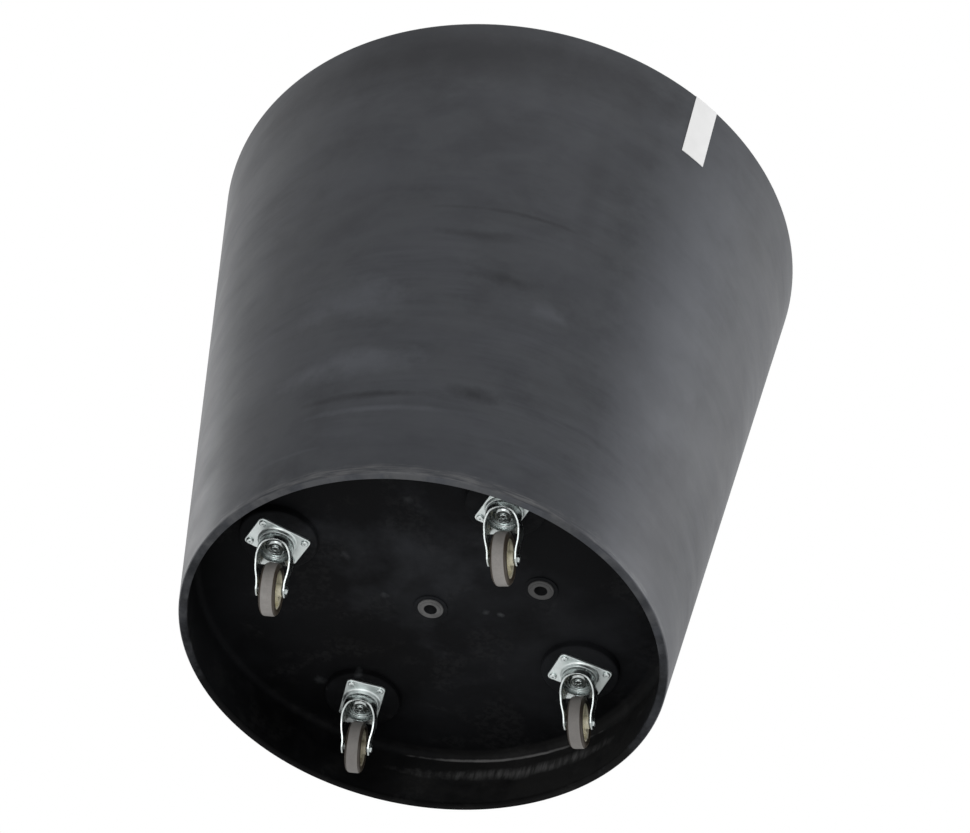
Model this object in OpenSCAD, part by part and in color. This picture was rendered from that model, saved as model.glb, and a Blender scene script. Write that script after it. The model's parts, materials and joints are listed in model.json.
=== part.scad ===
// Rolling planter: a tapered round pot, open at the top, whose floor is set up inside
// the bottom rim. Four swivel casters hide in that recess and carry the pot a finger's
// width off the ground. Origin: on the ground, on the pot's axis. Millimetres, +Z up.

/* [Pot] */
// Outer diameter at the top rim
top_d = 800; // [700:10:1000]
// Outer diameter at the bottom rim
bottom_d = 600; // [560:10:700]
// Height of the pot from rim to rim
pot_h = 745; // [500:5:1000]
// Thickness of the side wall
wall_t = 11; // [9:0.5:16]
// Thickness of the floor
floor_t = 11; // [9:0.5:16]
// Radius that rounds the edges of both rims
rim_round = 3; // [1:0.5:4]
// Radius of the fillet inside the pot, between the floor and the wall
soil_fillet = 24; // [10:1:40]
// Radius of the fillet under the floor, between the floor and the wall
recess_fillet = 9; // [4:1:15]
// Height of the bottom rim above the ground
rim_gap = 12; // [6:1:25]
// Fall of the floor towards the middle, in mm for each mm of radius
floor_fall = 0.05; // [0.02:0.01:0.08]

/* [Bosses under the floor] */
// Diameter of the round boss that carries a caster
boss_d = 98; // [90:1:120]
// Depth of a boss below the floor, on the caster circle
boss_h = 11; // [8:0.5:20]
// Radius that rounds the lower edge of a boss
boss_round = 3; // [1:0.5:5]
// Diameter of the flat land around each drain hole
land_d = 42; // [38:1:60]
// Height of a drain land below the floor, and depth of the one inside the pot
land_h = 1.4; // [1:0.2:3]

/* [Drains] */
// Distance from the pot's axis to the second drain
drain_r = 143; // [110:1:150]
// Diameter of the water passage through a grommet
drain_bore = 15; // [10:1:18]
// Diameter of a grommet's neck
neck_d = 21; // [20:1:24]
// Diameter of the flange under the floor
flange_d = 32; // [28:1:36]
// Diameter of the flange inside the pot
inner_flange_d = 29; // [27:1:36]
// Thickness of the flange under the floor
flange_t = 2.4; // [1.5:0.1:3.5]
// Thickness of the flange inside the pot
inner_flange_t = 1.8; // [1:0.1:3]

/* [Caster layout] */
// Distance from the pot's axis to a kingpin
caster_r = 208; // [190:1:215]
// Direction in which the wheels trail, in degrees from +X
heading = 102; // [0:1:359]

/* [Top plate] */
// Length of the plate, along the pot's radius
plate_l = 70; // [68:1:80]
// Width of the plate
plate_w = 50; // [48:1:58]
// Thickness of the plate
plate_t = 2.5; // [2:0.1:4]
// Radius of the plate's corners
plate_corner = 6; // [3:0.5:8]
// Distance between screw holes along the plate
hole_l = 57; // [54:0.5:58]
// Distance between screw holes across the plate
hole_w = 37; // [35:0.5:40]
// Outer diameter of the pressed ring that holds the upper balls
race_d = 45; // [43.5:0.5:47]
// Thickness of the pressed ring below the plate
race_t = 3.5; // [2.5:0.1:5]
// Width of the skirt that hangs around the balls, above the fork's bend
skirt_w = 1.6; // [1:0.1:2.5]
// Depth of the skirt below the pressed ring
skirt_h = 2; // [1:0.1:2.2]

/* [Screws] */
// Shank diameter of a plate screw
screw_d = 4.8; // [4:0.1:5.5]
// Length of the shank below the head
screw_l = 16; // [12:1:18]
// Diameter of a screw's head
screw_head_d = 9.4; // [8:0.1:10.5]
// Height of a screw's head
screw_head_h = 2.6; // [2:0.1:3.5]

/* [Swivel] */
// Diameter of an upper ball
ball_d = 4.5; // [4:0.1:5]
// Radius of the circle on which the upper balls run
ball_ring_r = 16.5; // [16:0.1:17]
// Diameter of a lower ball
low_ball_d = 3.2; // [2.8:0.1:3.6]
// Radius of the circle on which the lower balls run
low_ring_r = 9.4; // [8.8:0.1:10]
// Gap between the pressed ring and the fork, which the upper balls span
ball_gap = 2.8; // [2.4:0.1:3.4]
// Gap between the fork and the cup under it, which the lower balls span
low_ball_gap = 2; // [1.6:0.1:2.4]
// Diameter of the kingpin's shank
kingpin_d = 8; // [7:0.1:9]
// Diameter of the kingpin's riveted head
kingpin_head_d = 11; // [10:0.5:14]
// Height of the kingpin's riveted head
kingpin_head_h = 2; // [1.5:0.1:3]
// Outer diameter of the cup that holds the lower balls
cup_d = 26; // [25:0.5:28]
// Thickness of the cup's bottom
cup_t = 2.4; // [2:0.1:3]

/* [Fork] */
// Sheet thickness of the fork
fork_t = 2.2; // [2:0.1:2.6]
// Diameter of the drawn cup from which the legs come down
fork_w = 43.6; // [43:0.2:46]
// Width of the fork over its legs at the axle
fork_eye_w = 36; // [35:0.5:40]
// Radius of the bend between the crown and the cup's wall
fork_bend = 4; // [3.5:0.5:5]
// Height of the cup's wall below the crown, in front and behind
fork_lip = 8; // [6:0.5:8.5]
// Distance that the axle trails behind the kingpin
trail = 31.5; // [30:0.5:34]
// How far behind the kingpin the crown reaches, where the legs' rear edge begins
leg_rear = 24; // [22:0.5:26]
// Radius of the leg's round end about the axle
leg_eye_r = 9.5; // [8:0.5:10.5]
// Gap between the top of the wheel and the crown
crown_gap = 9; // [8:0.5:14]

/* [Wheel] */
// Diameter of the wheel over its tread
wheel_d = 65; // [60:1:70]
// Width of the tread
tread_w = 20.5; // [17:0.5:22]
// Radius of the tread's shoulders
tread_round = 6; // [3:0.5:8]
// Diameter of the hub under the tread
hub_d = 47.4; // [44:0.2:49]
// Width of the hub's rim
hub_rim_w = 17; // [15:0.5:17]
// Thickness of the hub's rim
hub_rim_t = 3; // [2:0.1:4]
// Thickness of the hub's web
web_t = 4; // [3:0.1:6]
// Diameter of the hub's central boss
hub_boss_d = 16; // [14:0.5:18]
// Width of the hub's central boss
hub_boss_w = 27; // [24:0.5:28]
// Number of ribs on each side of the web
rib_count = 6; // [4:1:8]
// Thickness of a rib
rib_t = 2; // [1.5:0.1:3]

/* [Axle] */
// Diameter of the axle bolt
axle_d = 6; // [5:0.1:7]
// Wall of the sleeve that the hub turns on
sleeve_wall = 1.3; // [1:0.1:2]
// Width across the flats of the thin nut
axle_af = 10; // [9:0.1:12]
// Height of the nut
nut_h = 2.2; // [2:0.1:4]
// Length of bolt that shows past the nut
bolt_end = 0.4; // [0.2:0.1:1]
// Diameter of the bolt's flat head
bolt_head_d = 12; // [10:0.5:14]
// Height of the bolt's flat head
bolt_head_h = 1.2; // [1:0.1:2]

/* [Label] */
// Width of the card strip that hangs over the top rim
label_w = 37.5; // [20:0.5:60]
// Length of the strip down the outside
label_out = 105; // [60:1:160]
// Length of the strip down the inside
label_in = 60; // [30:1:120]
// Thickness of the card
label_t = 0.6; // [0.4:0.1:1]
// Direction of the strip, in degrees from +X
label_angle = -29.5; // [-180:0.5:180]

/* [Clearances] */
// Radial clearance of the axle bolt in the fork's eyes and in the sleeve
bolt_clear = 0.2; // [0.1:0.05:0.4]
// Radial clearance of the hub on its sleeve
hub_clear = 0.1; // [0.05:0.01:0.2]
// Radial clearance of the fork about the kingpin
kingpin_clear = 0.5; // [0.3:0.1:1]
// Clearance of a ball in its groove
ball_clear = 0.05; // [0.03:0.01:0.1]
// Gap between the sleeve and each leg
sleeve_gap = 0.2; // [0.1:0.05:0.4]
// Radial clearance of a screw in its pilot hole
pilot_clear = 0.1; // [0.05:0.05:0.2]
// Radial clearance of a screw in the plate
screw_clear = 0.7; // [0.4:0.1:1]
// Radial clearance of a grommet's neck in the floor
neck_clear = 0.1; // [0.05:0.05:0.3]
// Gap between the card strip and the wall
label_gap = 0.1; // [0.05:0.05:0.3]

/* [Hidden] */
$fn = 64;
CASTERS = [1, 2, 3, 4];
FIRST_CASTER = -135;                  // caster 1 lies on this bearing, the others 90 degrees on
PLATE_SKEW = [3, 0, -4, -14];         // how far each plate is turned off the pot's radius
HEADING_SKEW = [5, -2.5, -3.5, 5.5];  // how far each wheel is turned off the common heading
DRAIN_2_ANGLE = 0;                    // the second drain lies midway between two casters
ARC_STEPS = 6;
EPS = 0.01;                           // how far two solids of one piece sink into each other
HEX_W = 1 / cos(30);                  // width over the corners of a hexagon one wide over its flats

// Small shapes of the pressed and turned metal
HEAD_ROUNDING = 0.7;                  // share of a screw head's height that is rounded
CROSS_W = 1.1;                        // slot width of a screw's cross recess
CROSS_DEPTH = 1.2;
CROSS_SPAN = 0.5;                     // span of the recess, as a share of the head
SCREW_TURN = 20;                      // angle at which the recesses came to rest
RIVET_ROUNDING = 0.8;                 // share of the rivet head's height that is rounded
DIMPLE_DEPTH = 0.6;                   // dimple left by the riveting tool
DIMPLE_FLOOR = 0.35;                  // its radii, as shares of the head's
DIMPLE_MOUTH = 0.45;
CUP_TAPER = 5;                        // how much narrower the cup is at its bottom
CUP_WALL = 1.4;
CUP_LIP = 0.5;                        // height of the cup's lip, as a share of the lower gap
CUP_RECESS = 0.9;                     // depth of the hollow under the cup, around the rivet's head
CUP_RECESS_R = 8.4;
BALL_SPACING = 1.2;                   // distance between neighbouring balls, in diameters
RIB_INSET = 1.5;                      // how far the ribs stand back from the hub's rim
NUT_CHAMFER = 0.5;                    // slope of the chamfer on the nut's corners

// The fork's legs
LEAN_RUN = 16;                        // length over which a leg leans in towards the wheel
FLAT_INSET = 0.2;                     // how far the flat of a leg lies inside the cup's round
CUP_DEPTH = 27;                       // how far the cup's round runs down into the legs
EYE_TANGENT = 37;                     // angle at which the rear edge meets the round end

// Points of a leg's front edge, as distance behind the kingpin and below the cup's wall. Each
// line is one bend: where it starts, where it heads for and where it ends.
FRONT_BENDS = [[[-19, 0], [-15, 0.4], [-8.5, 7]],
    [[-2, 12.3], [8.3, 22.4], [15, 31]]];
SWEEP = 7.5;                          // how far ahead of the axle the last bend aims
REAR_BEND = [[1.7, 10.5], [6, 16]];   // bend of the rear edge, measured from its upper end

// Colours
CHARCOAL = [0.25, 0.26, 0.27];
RUBBER = [0.42, 0.43, 0.44];
CARD = [0.93, 0.93, 0.93];
ZINC = [0.74, 0.77, 0.79];
STEEL = [0.64, 0.66, 0.68];
CREAM = [0.80, 0.78, 0.62];
TREAD = [0.50, 0.49, 0.47];

// Heights of the caster, from the ground up
axle_z = wheel_d / 2;
crown_z = wheel_d + crown_gap;        // underside of the fork's crown
crown_top = crown_z + fork_t;
race_z = crown_top + ball_gap;        // underside of the pressed ring
plate_z = race_z + race_t;            // underside of the plate
caster_h = plate_z + plate_t;         // the plate's upper face, where the boss begins
ball_z = crown_top + ball_gap / 2;
low_ball_z = crown_z - low_ball_gap / 2;
cup_top = crown_z - low_ball_gap;
cup_z = cup_top - cup_t;

// The pot's walls
rim_z = rim_gap;
top_z = rim_z + pot_h;
bottom_r = bottom_d / 2;
top_r = top_d / 2;
wall_lean = (top_r - bottom_r) / pot_h;
wall_angle = atan(wall_lean);
wall_across = wall_t / cos(wall_angle);      // wall thickness measured level
function outer_r(z) = bottom_r + wall_lean * (z - rim_z);
function inner_r(z) = outer_r(z) - wall_across;
function under_floor(r) = caster_h + boss_h + floor_fall * (r - caster_r);
function soil_floor(r) = under_floor(r) + floor_t;

// The fork and what it holds
shelf_z = crown_z - fork_lip;                // where the legs widen out of the cup
leg_tilt = atan2(trail, shelf_z - axle_z);   // lean of a leg's middle line, seen from the side
eye_in = fork_eye_w / 2 - fork_t;            // from the wheel's middle to a leg's inside
sleeve_r = axle_d / 2 + bolt_clear + sleeve_wall;
sleeve_l = 2 * (eye_in - sleeve_gap);
ball_count = floor(180 / asin(ball_d * BALL_SPACING / 2 / ball_ring_r));
low_ball_count = floor(180 / asin(low_ball_d * BALL_SPACING / 2 / low_ring_r));

// ---- Outlines ----

// Points of an arc about c, from angle a to angle b
function arc(c, r, a, b) =
    [for (i = [0:ARC_STEPS]) let (t = a + (b - a) * i / ARC_STEPS) c + r * [cos(t), sin(t)]];

// A fillet between two straight lines that meet at p and run on to a and to b
function fillet(a, p, b, r) =
    let (u = (a - p) / norm(a - p), v = (b - p) / norm(b - p),
        half = acos(u * v) / 2, reach = r / tan(half),
        start = p + u * reach, end = p + v * reach)
    bend_through(start, p, end);

// A smooth bend from a to b that heads for p
function bend_through(a, p, b) =
    [for (i = [0:ARC_STEPS]) let (t = i / ARC_STEPS)
        (1 - t) * (1 - t) * a + 2 * t * (1 - t) * p + t * t * b];

// Half section of the pot, as radius and height
function pot_section() =
    let (c = 1 / cos(wall_angle), n = wall_lean, q = rim_round,
        in_low = inner_r(rim_z), in_top = inner_r(top_z),
        under_r = inner_r(under_floor(bottom_r)), soil_r = inner_r(soil_floor(bottom_r)),
        under_corner = [under_r, under_floor(under_r)],
        soil_corner = [soil_r, soil_floor(soil_r)])
    concat(
        arc([in_low + q * (n + c), rim_z + q], q, 180 - wall_angle, 270),
        arc([bottom_r + q * (n - c), rim_z + q], q, 270, 360 - wall_angle),
        arc([top_r - q * (n + c), top_z - q], q, -wall_angle, 90),
        arc([in_top - q * (n - c), top_z - q], q, 90, 180 - wall_angle),
        fillet([in_top, top_z], soil_corner, [0, soil_floor(0)], soil_fillet),
        [[0, soil_floor(0)], [0, under_floor(0)]],
        fillet([0, under_floor(0)], under_corner, [in_low, rim_z], recess_fillet));

// ---- Places ----

function bearing(i) = FIRST_CASTER + 90 * (i - 1);

// The children's origin moves to the foot of kingpin i, with X along the pot's radius
module at_caster(i) {
    rotate([0, 0, bearing(i)]) translate([caster_r, 0, 0]) children();
}

// As at_caster, with X along the direction in which the wheel trails
module at_fork(i) {
    at_caster(i) rotate([0, 0, heading + HEADING_SKEW[i - 1] - bearing(i)]) children();
}

// The children's Z axis becomes the axle of wheel i, with its origin mid-wheel
module at_axle(i) {
    at_fork(i) translate([trail, 0, axle_z]) rotate([90, 0, 0]) children();
}

module at_drain(i) {
    r = (i == 1) ? 0 : drain_r;
    rotate([0, 0, DRAIN_2_ANGLE]) translate([r, 0, 0]) children();
}

// Four places of the screws, about the plate's middle
module at_screws() {
    for (x = [-1, 1], y = [-1, 1]) translate([x * hole_l / 2, y * hole_w / 2, 0]) children();
}

module ring(outer, inner, h) {
    difference() {
        cylinder(r = outer, h = h);
        translate([0, 0, -1]) cylinder(r = inner, h = h + 2);
    }
}

module torus(ring_r, wire_r) {
    rotate_extrude() translate([ring_r, 0]) circle(r = wire_r, $fn = 32);
}

// ---- The pot ----

function land_under(i) = under_floor(i == 1 ? 0 : drain_r) - land_h;
function land_soil(i) = soil_floor(i == 1 ? 0 : drain_r) - land_h;

module caster_boss() {
    r = boss_d / 2;
    top = under_floor(caster_r) + floor_t / 2;
    rotate_extrude() polygon(concat([[0, top], [0, caster_h]],
        arc([r - boss_round, caster_h + boss_round], boss_round, 270, 360), [[r, top]]));
}

module pot_shell() {
    color(CHARCOAL) difference() {
        union() {
            rotate_extrude($fn = 96) polygon(pot_section());
            for (i = CASTERS) at_caster(i) caster_boss();
            for (i = [1, 2]) at_drain(i) translate([0, 0, land_under(i)])
                cylinder(d = land_d, h = land_h + floor_t / 2);
        }
        for (i = [1, 2]) at_drain(i) {
            translate([0, 0, land_soil(i)]) cylinder(d = land_d, h = floor_t);
            translate([0, 0, land_under(i) - 1])
                cylinder(r = neck_d / 2 + neck_clear, h = 2 * floor_t + 2);
        }
        for (i = CASTERS) at_caster(i) rotate([0, 0, PLATE_SKEW[i - 1]]) at_screws()
            translate([0, 0, caster_h - 1])
                cylinder(r = screw_d / 2 + pilot_clear, h = screw_l - plate_t + 3);
    }
}

// A soft grommet, gripped by a flange on each side of the floor
module drain_grommet(i) {
    low = land_under(i);
    high = land_soil(i);
    color(RUBBER) at_drain(i) difference() {
        union() {
            translate([0, 0, low - flange_t]) cylinder(d = flange_d, h = flange_t);
            translate([0, 0, low - EPS]) cylinder(d = neck_d, h = high - low + 2 * EPS);
            translate([0, 0, high]) cylinder(d = inner_flange_d, h = inner_flange_t);
        }
        translate([0, 0, low - flange_t - 1])
            cylinder(d = drain_bore, h = high - low + flange_t + inner_flange_t + 2);
    }
}

// Section of the card, which lies against both faces of the wall and over the rim
function label_path(gap) =
    let (c = 1 / cos(wall_angle), n = wall_lean, q = rim_round,
        out_z = top_z - label_out, in_z = top_z - label_in)
    concat(
        [[outer_r(out_z) + gap * c, out_z]],
        arc([top_r - q * (n + c), top_z - q], q + gap, -wall_angle, 90),
        arc([inner_r(top_z) - q * (n - c), top_z - q], q + gap, 90, 180 - wall_angle),
        [[inner_r(in_z) - gap * c, in_z]]);

function reversed(list) = [for (i = [len(list) - 1:-1:0]) list[i]];

module rim_label() {
    color(CARD) intersection() {
        rotate_extrude($fn = 96)
            polygon(concat(label_path(label_gap + label_t), reversed(label_path(label_gap))));
        rotate([0, 0, label_angle]) translate([top_r / 2, -label_w / 2, rim_z])
            cube([top_r, label_w, pot_h * 2]);
    }
}

// ---- What each caster holds still ----

module plate_outline() {
    x = plate_l / 2 - plate_corner;
    y = plate_w / 2 - plate_corner;
    union() {
        square([2 * x, plate_w], center = true);
        square([plate_l, 2 * y], center = true);
        for (i = [-x, x], j = [-y, y]) translate([i, j]) circle(r = plate_corner);
    }
}

module top_plate(i) {
    color(ZINC) at_caster(i) rotate([0, 0, PLATE_SKEW[i - 1]]) difference() {
        union() {
            translate([0, 0, plate_z]) linear_extrude(plate_t) plate_outline();
            translate([0, 0, race_z]) cylinder(d = race_d, h = race_t + EPS);
            translate([0, 0, race_z - skirt_h])
                ring(race_d / 2, race_d / 2 - skirt_w, skirt_h + EPS);
        }
        translate([0, 0, race_z - 1]) cylinder(d = kingpin_d, h = race_t + plate_t + 2);
        translate([0, 0, ball_z]) torus(ball_ring_r, ball_d / 2 + ball_clear);
        at_screws() translate([0, 0, plate_z - 1])
            cylinder(r = screw_d / 2 + screw_clear, h = plate_t + 2);
    }
}

// Pan-head screws with a cross recess, driven up into the boss
module plate_screws(i) {
    q = screw_head_h * HEAD_ROUNDING;
    color(ZINC) at_caster(i) rotate([0, 0, PLATE_SKEW[i - 1]]) at_screws()
        translate([0, 0, plate_z]) difference() {
            union() {
                cylinder(d = screw_d, h = screw_l);
                translate([0, 0, -screw_head_h]) rotate_extrude() polygon(concat(
                    [[0, screw_head_h], [0, 0]],
                    arc([screw_head_d / 2 - q, q], q, 270, 360),
                    [[screw_head_d / 2, screw_head_h]]));
            }
            for (a = [0, 90]) rotate([0, 0, a + SCREW_TURN]) translate([0, 0, -screw_head_h])
                cube([screw_head_d * CROSS_SPAN, CROSS_W, 2 * CROSS_DEPTH], center = true);
        }
}

// A rivet through the plate, the fork and the cup, flush with the plate's upper face
module kingpin(i) {
    r = kingpin_head_d / 2;
    q = kingpin_head_h * RIVET_ROUNDING;
    seat = cup_z + CUP_RECESS;
    color(STEEL) at_caster(i) union() {
        translate([0, 0, seat - EPS]) cylinder(d = kingpin_d, h = caster_h - seat + EPS);
        translate([0, 0, seat - kingpin_head_h]) rotate_extrude() polygon(concat(
            [[0, kingpin_head_h], [0, DIMPLE_DEPTH], [r * DIMPLE_FLOOR, DIMPLE_DEPTH],
                [r * DIMPLE_MOUTH, 0]],
            arc([r - q, q], q, 270, 360),
            [[r, kingpin_head_h]]));
    }
}

// The cup under the crown, which the kingpin's head holds up
module race_cup(i) {
    color(STEEL) at_caster(i) translate([0, 0, cup_z]) difference() {
        union() {
            cylinder(d1 = cup_d - CUP_TAPER, d2 = cup_d, h = cup_t);
            translate([0, 0, cup_t - EPS])
                ring(cup_d / 2, cup_d / 2 - CUP_WALL, low_ball_gap * CUP_LIP);
        }
        translate([0, 0, -1]) cylinder(d = kingpin_d, h = cup_t + low_ball_gap + 2);
        translate([0, 0, -1]) cylinder(r = CUP_RECESS_R, h = CUP_RECESS + 1);
        translate([0, 0, low_ball_z - cup_z]) torus(low_ring_r, low_ball_d / 2 + ball_clear);
    }
}

module ball_circle(count, ring_r, d) {
    for (k = [0:count - 1]) rotate([0, 0, 360 * k / count]) translate([ring_r, 0, 0])
        sphere(d = d, $fn = 24);
}

module swivel_balls(i) {
    color(ZINC) at_caster(i) {
        translate([0, 0, ball_z]) ball_circle(ball_count, ball_ring_r, ball_d);
        translate([0, 0, low_ball_z]) ball_circle(low_ball_count, low_ring_r, low_ball_d);
    }
}

// ---- What swivels ----

// What the cup of the fork holds inside a skin of thickness d
module cup_core(d) {
    r = fork_w / 2 - d;
    q = fork_bend - d;
    rotate_extrude() polygon(concat([[0, crown_z - CUP_DEPTH - d], [r, crown_z - CUP_DEPTH - d]],
        arc([r - q, crown_top - d - q], q, 0, 90), [[0, crown_top - d]]));
}

// The same for the two legs: flat at the cup, leaning in, and flat again about the axle
module leg_core(d) {
    wide = fork_w / 2 - FLAT_INSET - d;
    slim = fork_eye_w / 2 - d;
    reach = trail + fork_w;
    knee = leg_eye_r + LEAN_RUN;
    intersection() {
        translate([trail, 0, axle_z]) rotate([0, -leg_tilt, 0]) translate([-reach, 0, 0])
            rotate([90, 0, 90]) linear_extrude(2 * reach)
                polygon([[slim, -reach], [slim, leg_eye_r], [wide, knee], [wide, reach],
                    [-wide, reach], [-wide, knee], [-slim, leg_eye_r], [-slim, -reach]]);
        union() {
            translate([0, -fork_w, -1]) cube([reach, 2 * fork_w, shelf_z + 1]);
            translate([0, -fork_w, 0]) cube([leg_rear, 2 * fork_w, shelf_z + fork_t - d]);
        }
    }
}

// Outline of the fork, seen from the side: x runs back along the trail, y runs up
module fork_profile() {
    eye = [trail, axle_z];
    low = [trail, axle_z - leg_eye_r];
    front = [for (b = FRONT_BENDS) [for (p = b) [p[0], shelf_z - p[1]]]];
    rear = [leg_rear, shelf_z];
    far = max(fork_w / 2, leg_rear) + 1;
    union() {
        translate(eye) circle(r = leg_eye_r);
        polygon(concat(
            [[-far, crown_top + 1], [-far, shelf_z]],
            bend_through(front[0][0], front[0][1], front[0][2]),
            bend_through(front[1][0], front[1][1], front[1][2]),
            bend_through(front[1][2] + [EPS, -EPS], low - [SWEEP, 0], low),
            [eye + [leg_eye_r, 0], eye + leg_eye_r * [cos(EYE_TANGENT), sin(EYE_TANGENT)]],
            bend_through(rear + [REAR_BEND[1][0], -REAR_BEND[1][1]],
                rear + [REAR_BEND[0][0], -REAR_BEND[0][1]], rear),
            [[far, shelf_z], [far, crown_top + 1]]));
    }
}

module fork(i) {
    color(STEEL) at_fork(i) difference() {
        intersection() {
            union() { cup_core(0); leg_core(0); }
            translate([0, fork_w, 0]) rotate([90, 0, 0]) linear_extrude(2 * fork_w) fork_profile();
        }
        cup_core(fork_t);
        leg_core(fork_t);
        translate([0, 0, crown_z - 1])
            cylinder(r = kingpin_d / 2 + kingpin_clear, h = fork_t + 2);
        translate([0, 0, ball_z]) torus(ball_ring_r, ball_d / 2 + ball_clear);
        translate([0, 0, low_ball_z]) torus(low_ring_r, low_ball_d / 2 + ball_clear);
        translate([trail, fork_w, axle_z]) rotate([90, 0, 0])
            cylinder(r = axle_d / 2 + bolt_clear, h = 2 * fork_w);
    }
}

// The bolt enters from the left leg, and a thin nut holds it on the right leg
module axle_bolt(i) {
    half = fork_eye_w / 2;
    color(STEEL) at_axle(i) union() {
        translate([0, 0, -half - EPS]) cylinder(d = axle_d, h = fork_eye_w + nut_h + bolt_end + EPS);
        translate([0, 0, -half - bolt_head_h]) cylinder(d = bolt_head_d, h = bolt_head_h);
    }
}

module axle_nut(i) {
    color(STEEL) at_axle(i) translate([0, 0, fork_eye_w / 2]) difference() {
        intersection() {
            cylinder(d = axle_af * HEX_W, h = nut_h, $fn = 6);
            cylinder(r1 = axle_af / 2 + nut_h / NUT_CHAMFER, r2 = axle_af / 2, h = nut_h);
        }
        translate([0, 0, -1]) cylinder(d = axle_d, h = nut_h + 2);
    }
}

module axle_sleeve(i) {
    color(STEEL) at_axle(i) translate([0, 0, -sleeve_l / 2])
        ring(sleeve_r, axle_d / 2 + bolt_clear, sleeve_l);
}

// ---- What rolls ----

module wheel_hub(i) {
    r = hub_d / 2;
    color(CREAM) at_axle(i) difference() {
        union() {
            translate([0, 0, -hub_rim_w / 2]) ring(r, r - hub_rim_t, hub_rim_w);
            translate([0, 0, -web_t / 2]) cylinder(r = r - hub_rim_t / 2, h = web_t);
            translate([0, 0, -hub_boss_w / 2]) cylinder(d = hub_boss_d, h = hub_boss_w);
            for (k = [0:rib_count - 1]) rotate([0, 0, 360 * k / rib_count])
                translate([hub_boss_d / 4, -rib_t / 2, RIB_INSET - hub_rim_w / 2])
                    cube([r - hub_rim_t / 2 - hub_boss_d / 4, rib_t, hub_rim_w - 2 * RIB_INSET]);
        }
        translate([0, 0, -hub_boss_w]) cylinder(r = sleeve_r + hub_clear, h = 2 * hub_boss_w);
    }
}

module wheel_tread(i) {
    h = tread_w / 2;
    r = wheel_d / 2;
    q = tread_round;
    color(TREAD) at_axle(i) rotate_extrude() polygon(concat(
        [[hub_d / 2, -hub_rim_w / 2]],
        arc([r - q, -h + q], q, 270, 360),
        arc([r - q, h - q], q, 0, 90),
        [[hub_d / 2, hub_rim_w / 2]]));
}

pot_shell();
drain_grommet(1);  // drain_grommet_1
drain_grommet(2);  // drain_grommet_2
rim_label();
top_plate(1);  // top_plate_1
plate_screws(1);  // plate_screws_1
kingpin(1);  // kingpin_1
race_cup(1);  // race_cup_1
swivel_balls(1);  // swivel_balls_1
fork(1);  // fork_1
axle_bolt(1);  // axle_bolt_1
axle_nut(1);  // axle_nut_1
axle_sleeve(1);  // axle_sleeve_1
wheel_hub(1);  // wheel_hub_1
wheel_tread(1);  // wheel_tread_1
top_plate(2);  // top_plate_2
plate_screws(2);  // plate_screws_2
kingpin(2);  // kingpin_2
race_cup(2);  // race_cup_2
swivel_balls(2);  // swivel_balls_2
fork(2);  // fork_2
axle_bolt(2);  // axle_bolt_2
axle_nut(2);  // axle_nut_2
axle_sleeve(2);  // axle_sleeve_2
wheel_hub(2);  // wheel_hub_2
wheel_tread(2);  // wheel_tread_2
top_plate(3);  // top_plate_3
plate_screws(3);  // plate_screws_3
kingpin(3);  // kingpin_3
race_cup(3);  // race_cup_3
swivel_balls(3);  // swivel_balls_3
fork(3);  // fork_3
axle_bolt(3);  // axle_bolt_3
axle_nut(3);  // axle_nut_3
axle_sleeve(3);  // axle_sleeve_3
wheel_hub(3);  // wheel_hub_3
wheel_tread(3);  // wheel_tread_3
top_plate(4);  // top_plate_4
plate_screws(4);  // plate_screws_4
kingpin(4);  // kingpin_4
race_cup(4);  // race_cup_4
swivel_balls(4);  // swivel_balls_4
fork(4);  // fork_4
axle_bolt(4);  // axle_bolt_4
axle_nut(4);  // axle_nut_4
axle_sleeve(4);  // axle_sleeve_4
wheel_hub(4);  // wheel_hub_4
wheel_tread(4);  // wheel_tread_4
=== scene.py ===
# %% [markdown]
# # A rolling planter, dressed for its picture
# This lesson takes a planter that was built as exact solids and gives it the surfaces of
# the real thing. The real one is a heavy moulded plastic pot that stands on four hidden
# swivel casters, seen here from below. The solids fix every size and every joint, so the
# first step is to load them. Everything made later has to stay inside the box they fill
# and move with the same bodies.

# %% Load the imported model
import json
from math import atan2, cos, hypot, pi, radians, sin

import bmesh
import bpy
from mathutils import Matrix, Vector


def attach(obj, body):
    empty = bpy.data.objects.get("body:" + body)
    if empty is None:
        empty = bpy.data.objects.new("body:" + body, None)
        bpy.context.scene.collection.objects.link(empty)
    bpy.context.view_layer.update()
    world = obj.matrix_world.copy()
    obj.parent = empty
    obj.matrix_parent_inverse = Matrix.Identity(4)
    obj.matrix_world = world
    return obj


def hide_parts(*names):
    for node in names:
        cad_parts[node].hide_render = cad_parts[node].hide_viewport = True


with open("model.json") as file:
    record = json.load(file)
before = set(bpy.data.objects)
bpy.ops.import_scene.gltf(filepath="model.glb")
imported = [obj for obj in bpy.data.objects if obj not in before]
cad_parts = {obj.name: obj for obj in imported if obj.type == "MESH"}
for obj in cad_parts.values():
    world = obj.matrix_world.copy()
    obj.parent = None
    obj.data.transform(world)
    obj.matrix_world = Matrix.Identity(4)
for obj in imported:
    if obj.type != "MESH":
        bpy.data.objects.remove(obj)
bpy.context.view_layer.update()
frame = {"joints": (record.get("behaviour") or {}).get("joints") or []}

joints = {joint["name"]: joint for joint in frame["joints"]}

# %% [markdown]
# ## Units and sizes
# A maker's drawing of such a pot is in millimetres, and Blender's scene is in metres. The
# meshes are therefore shaped in millimetres, with the drawing's own numbers, and scaled
# once when they are finished. The sizes below are the ones that several pieces share.

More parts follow.
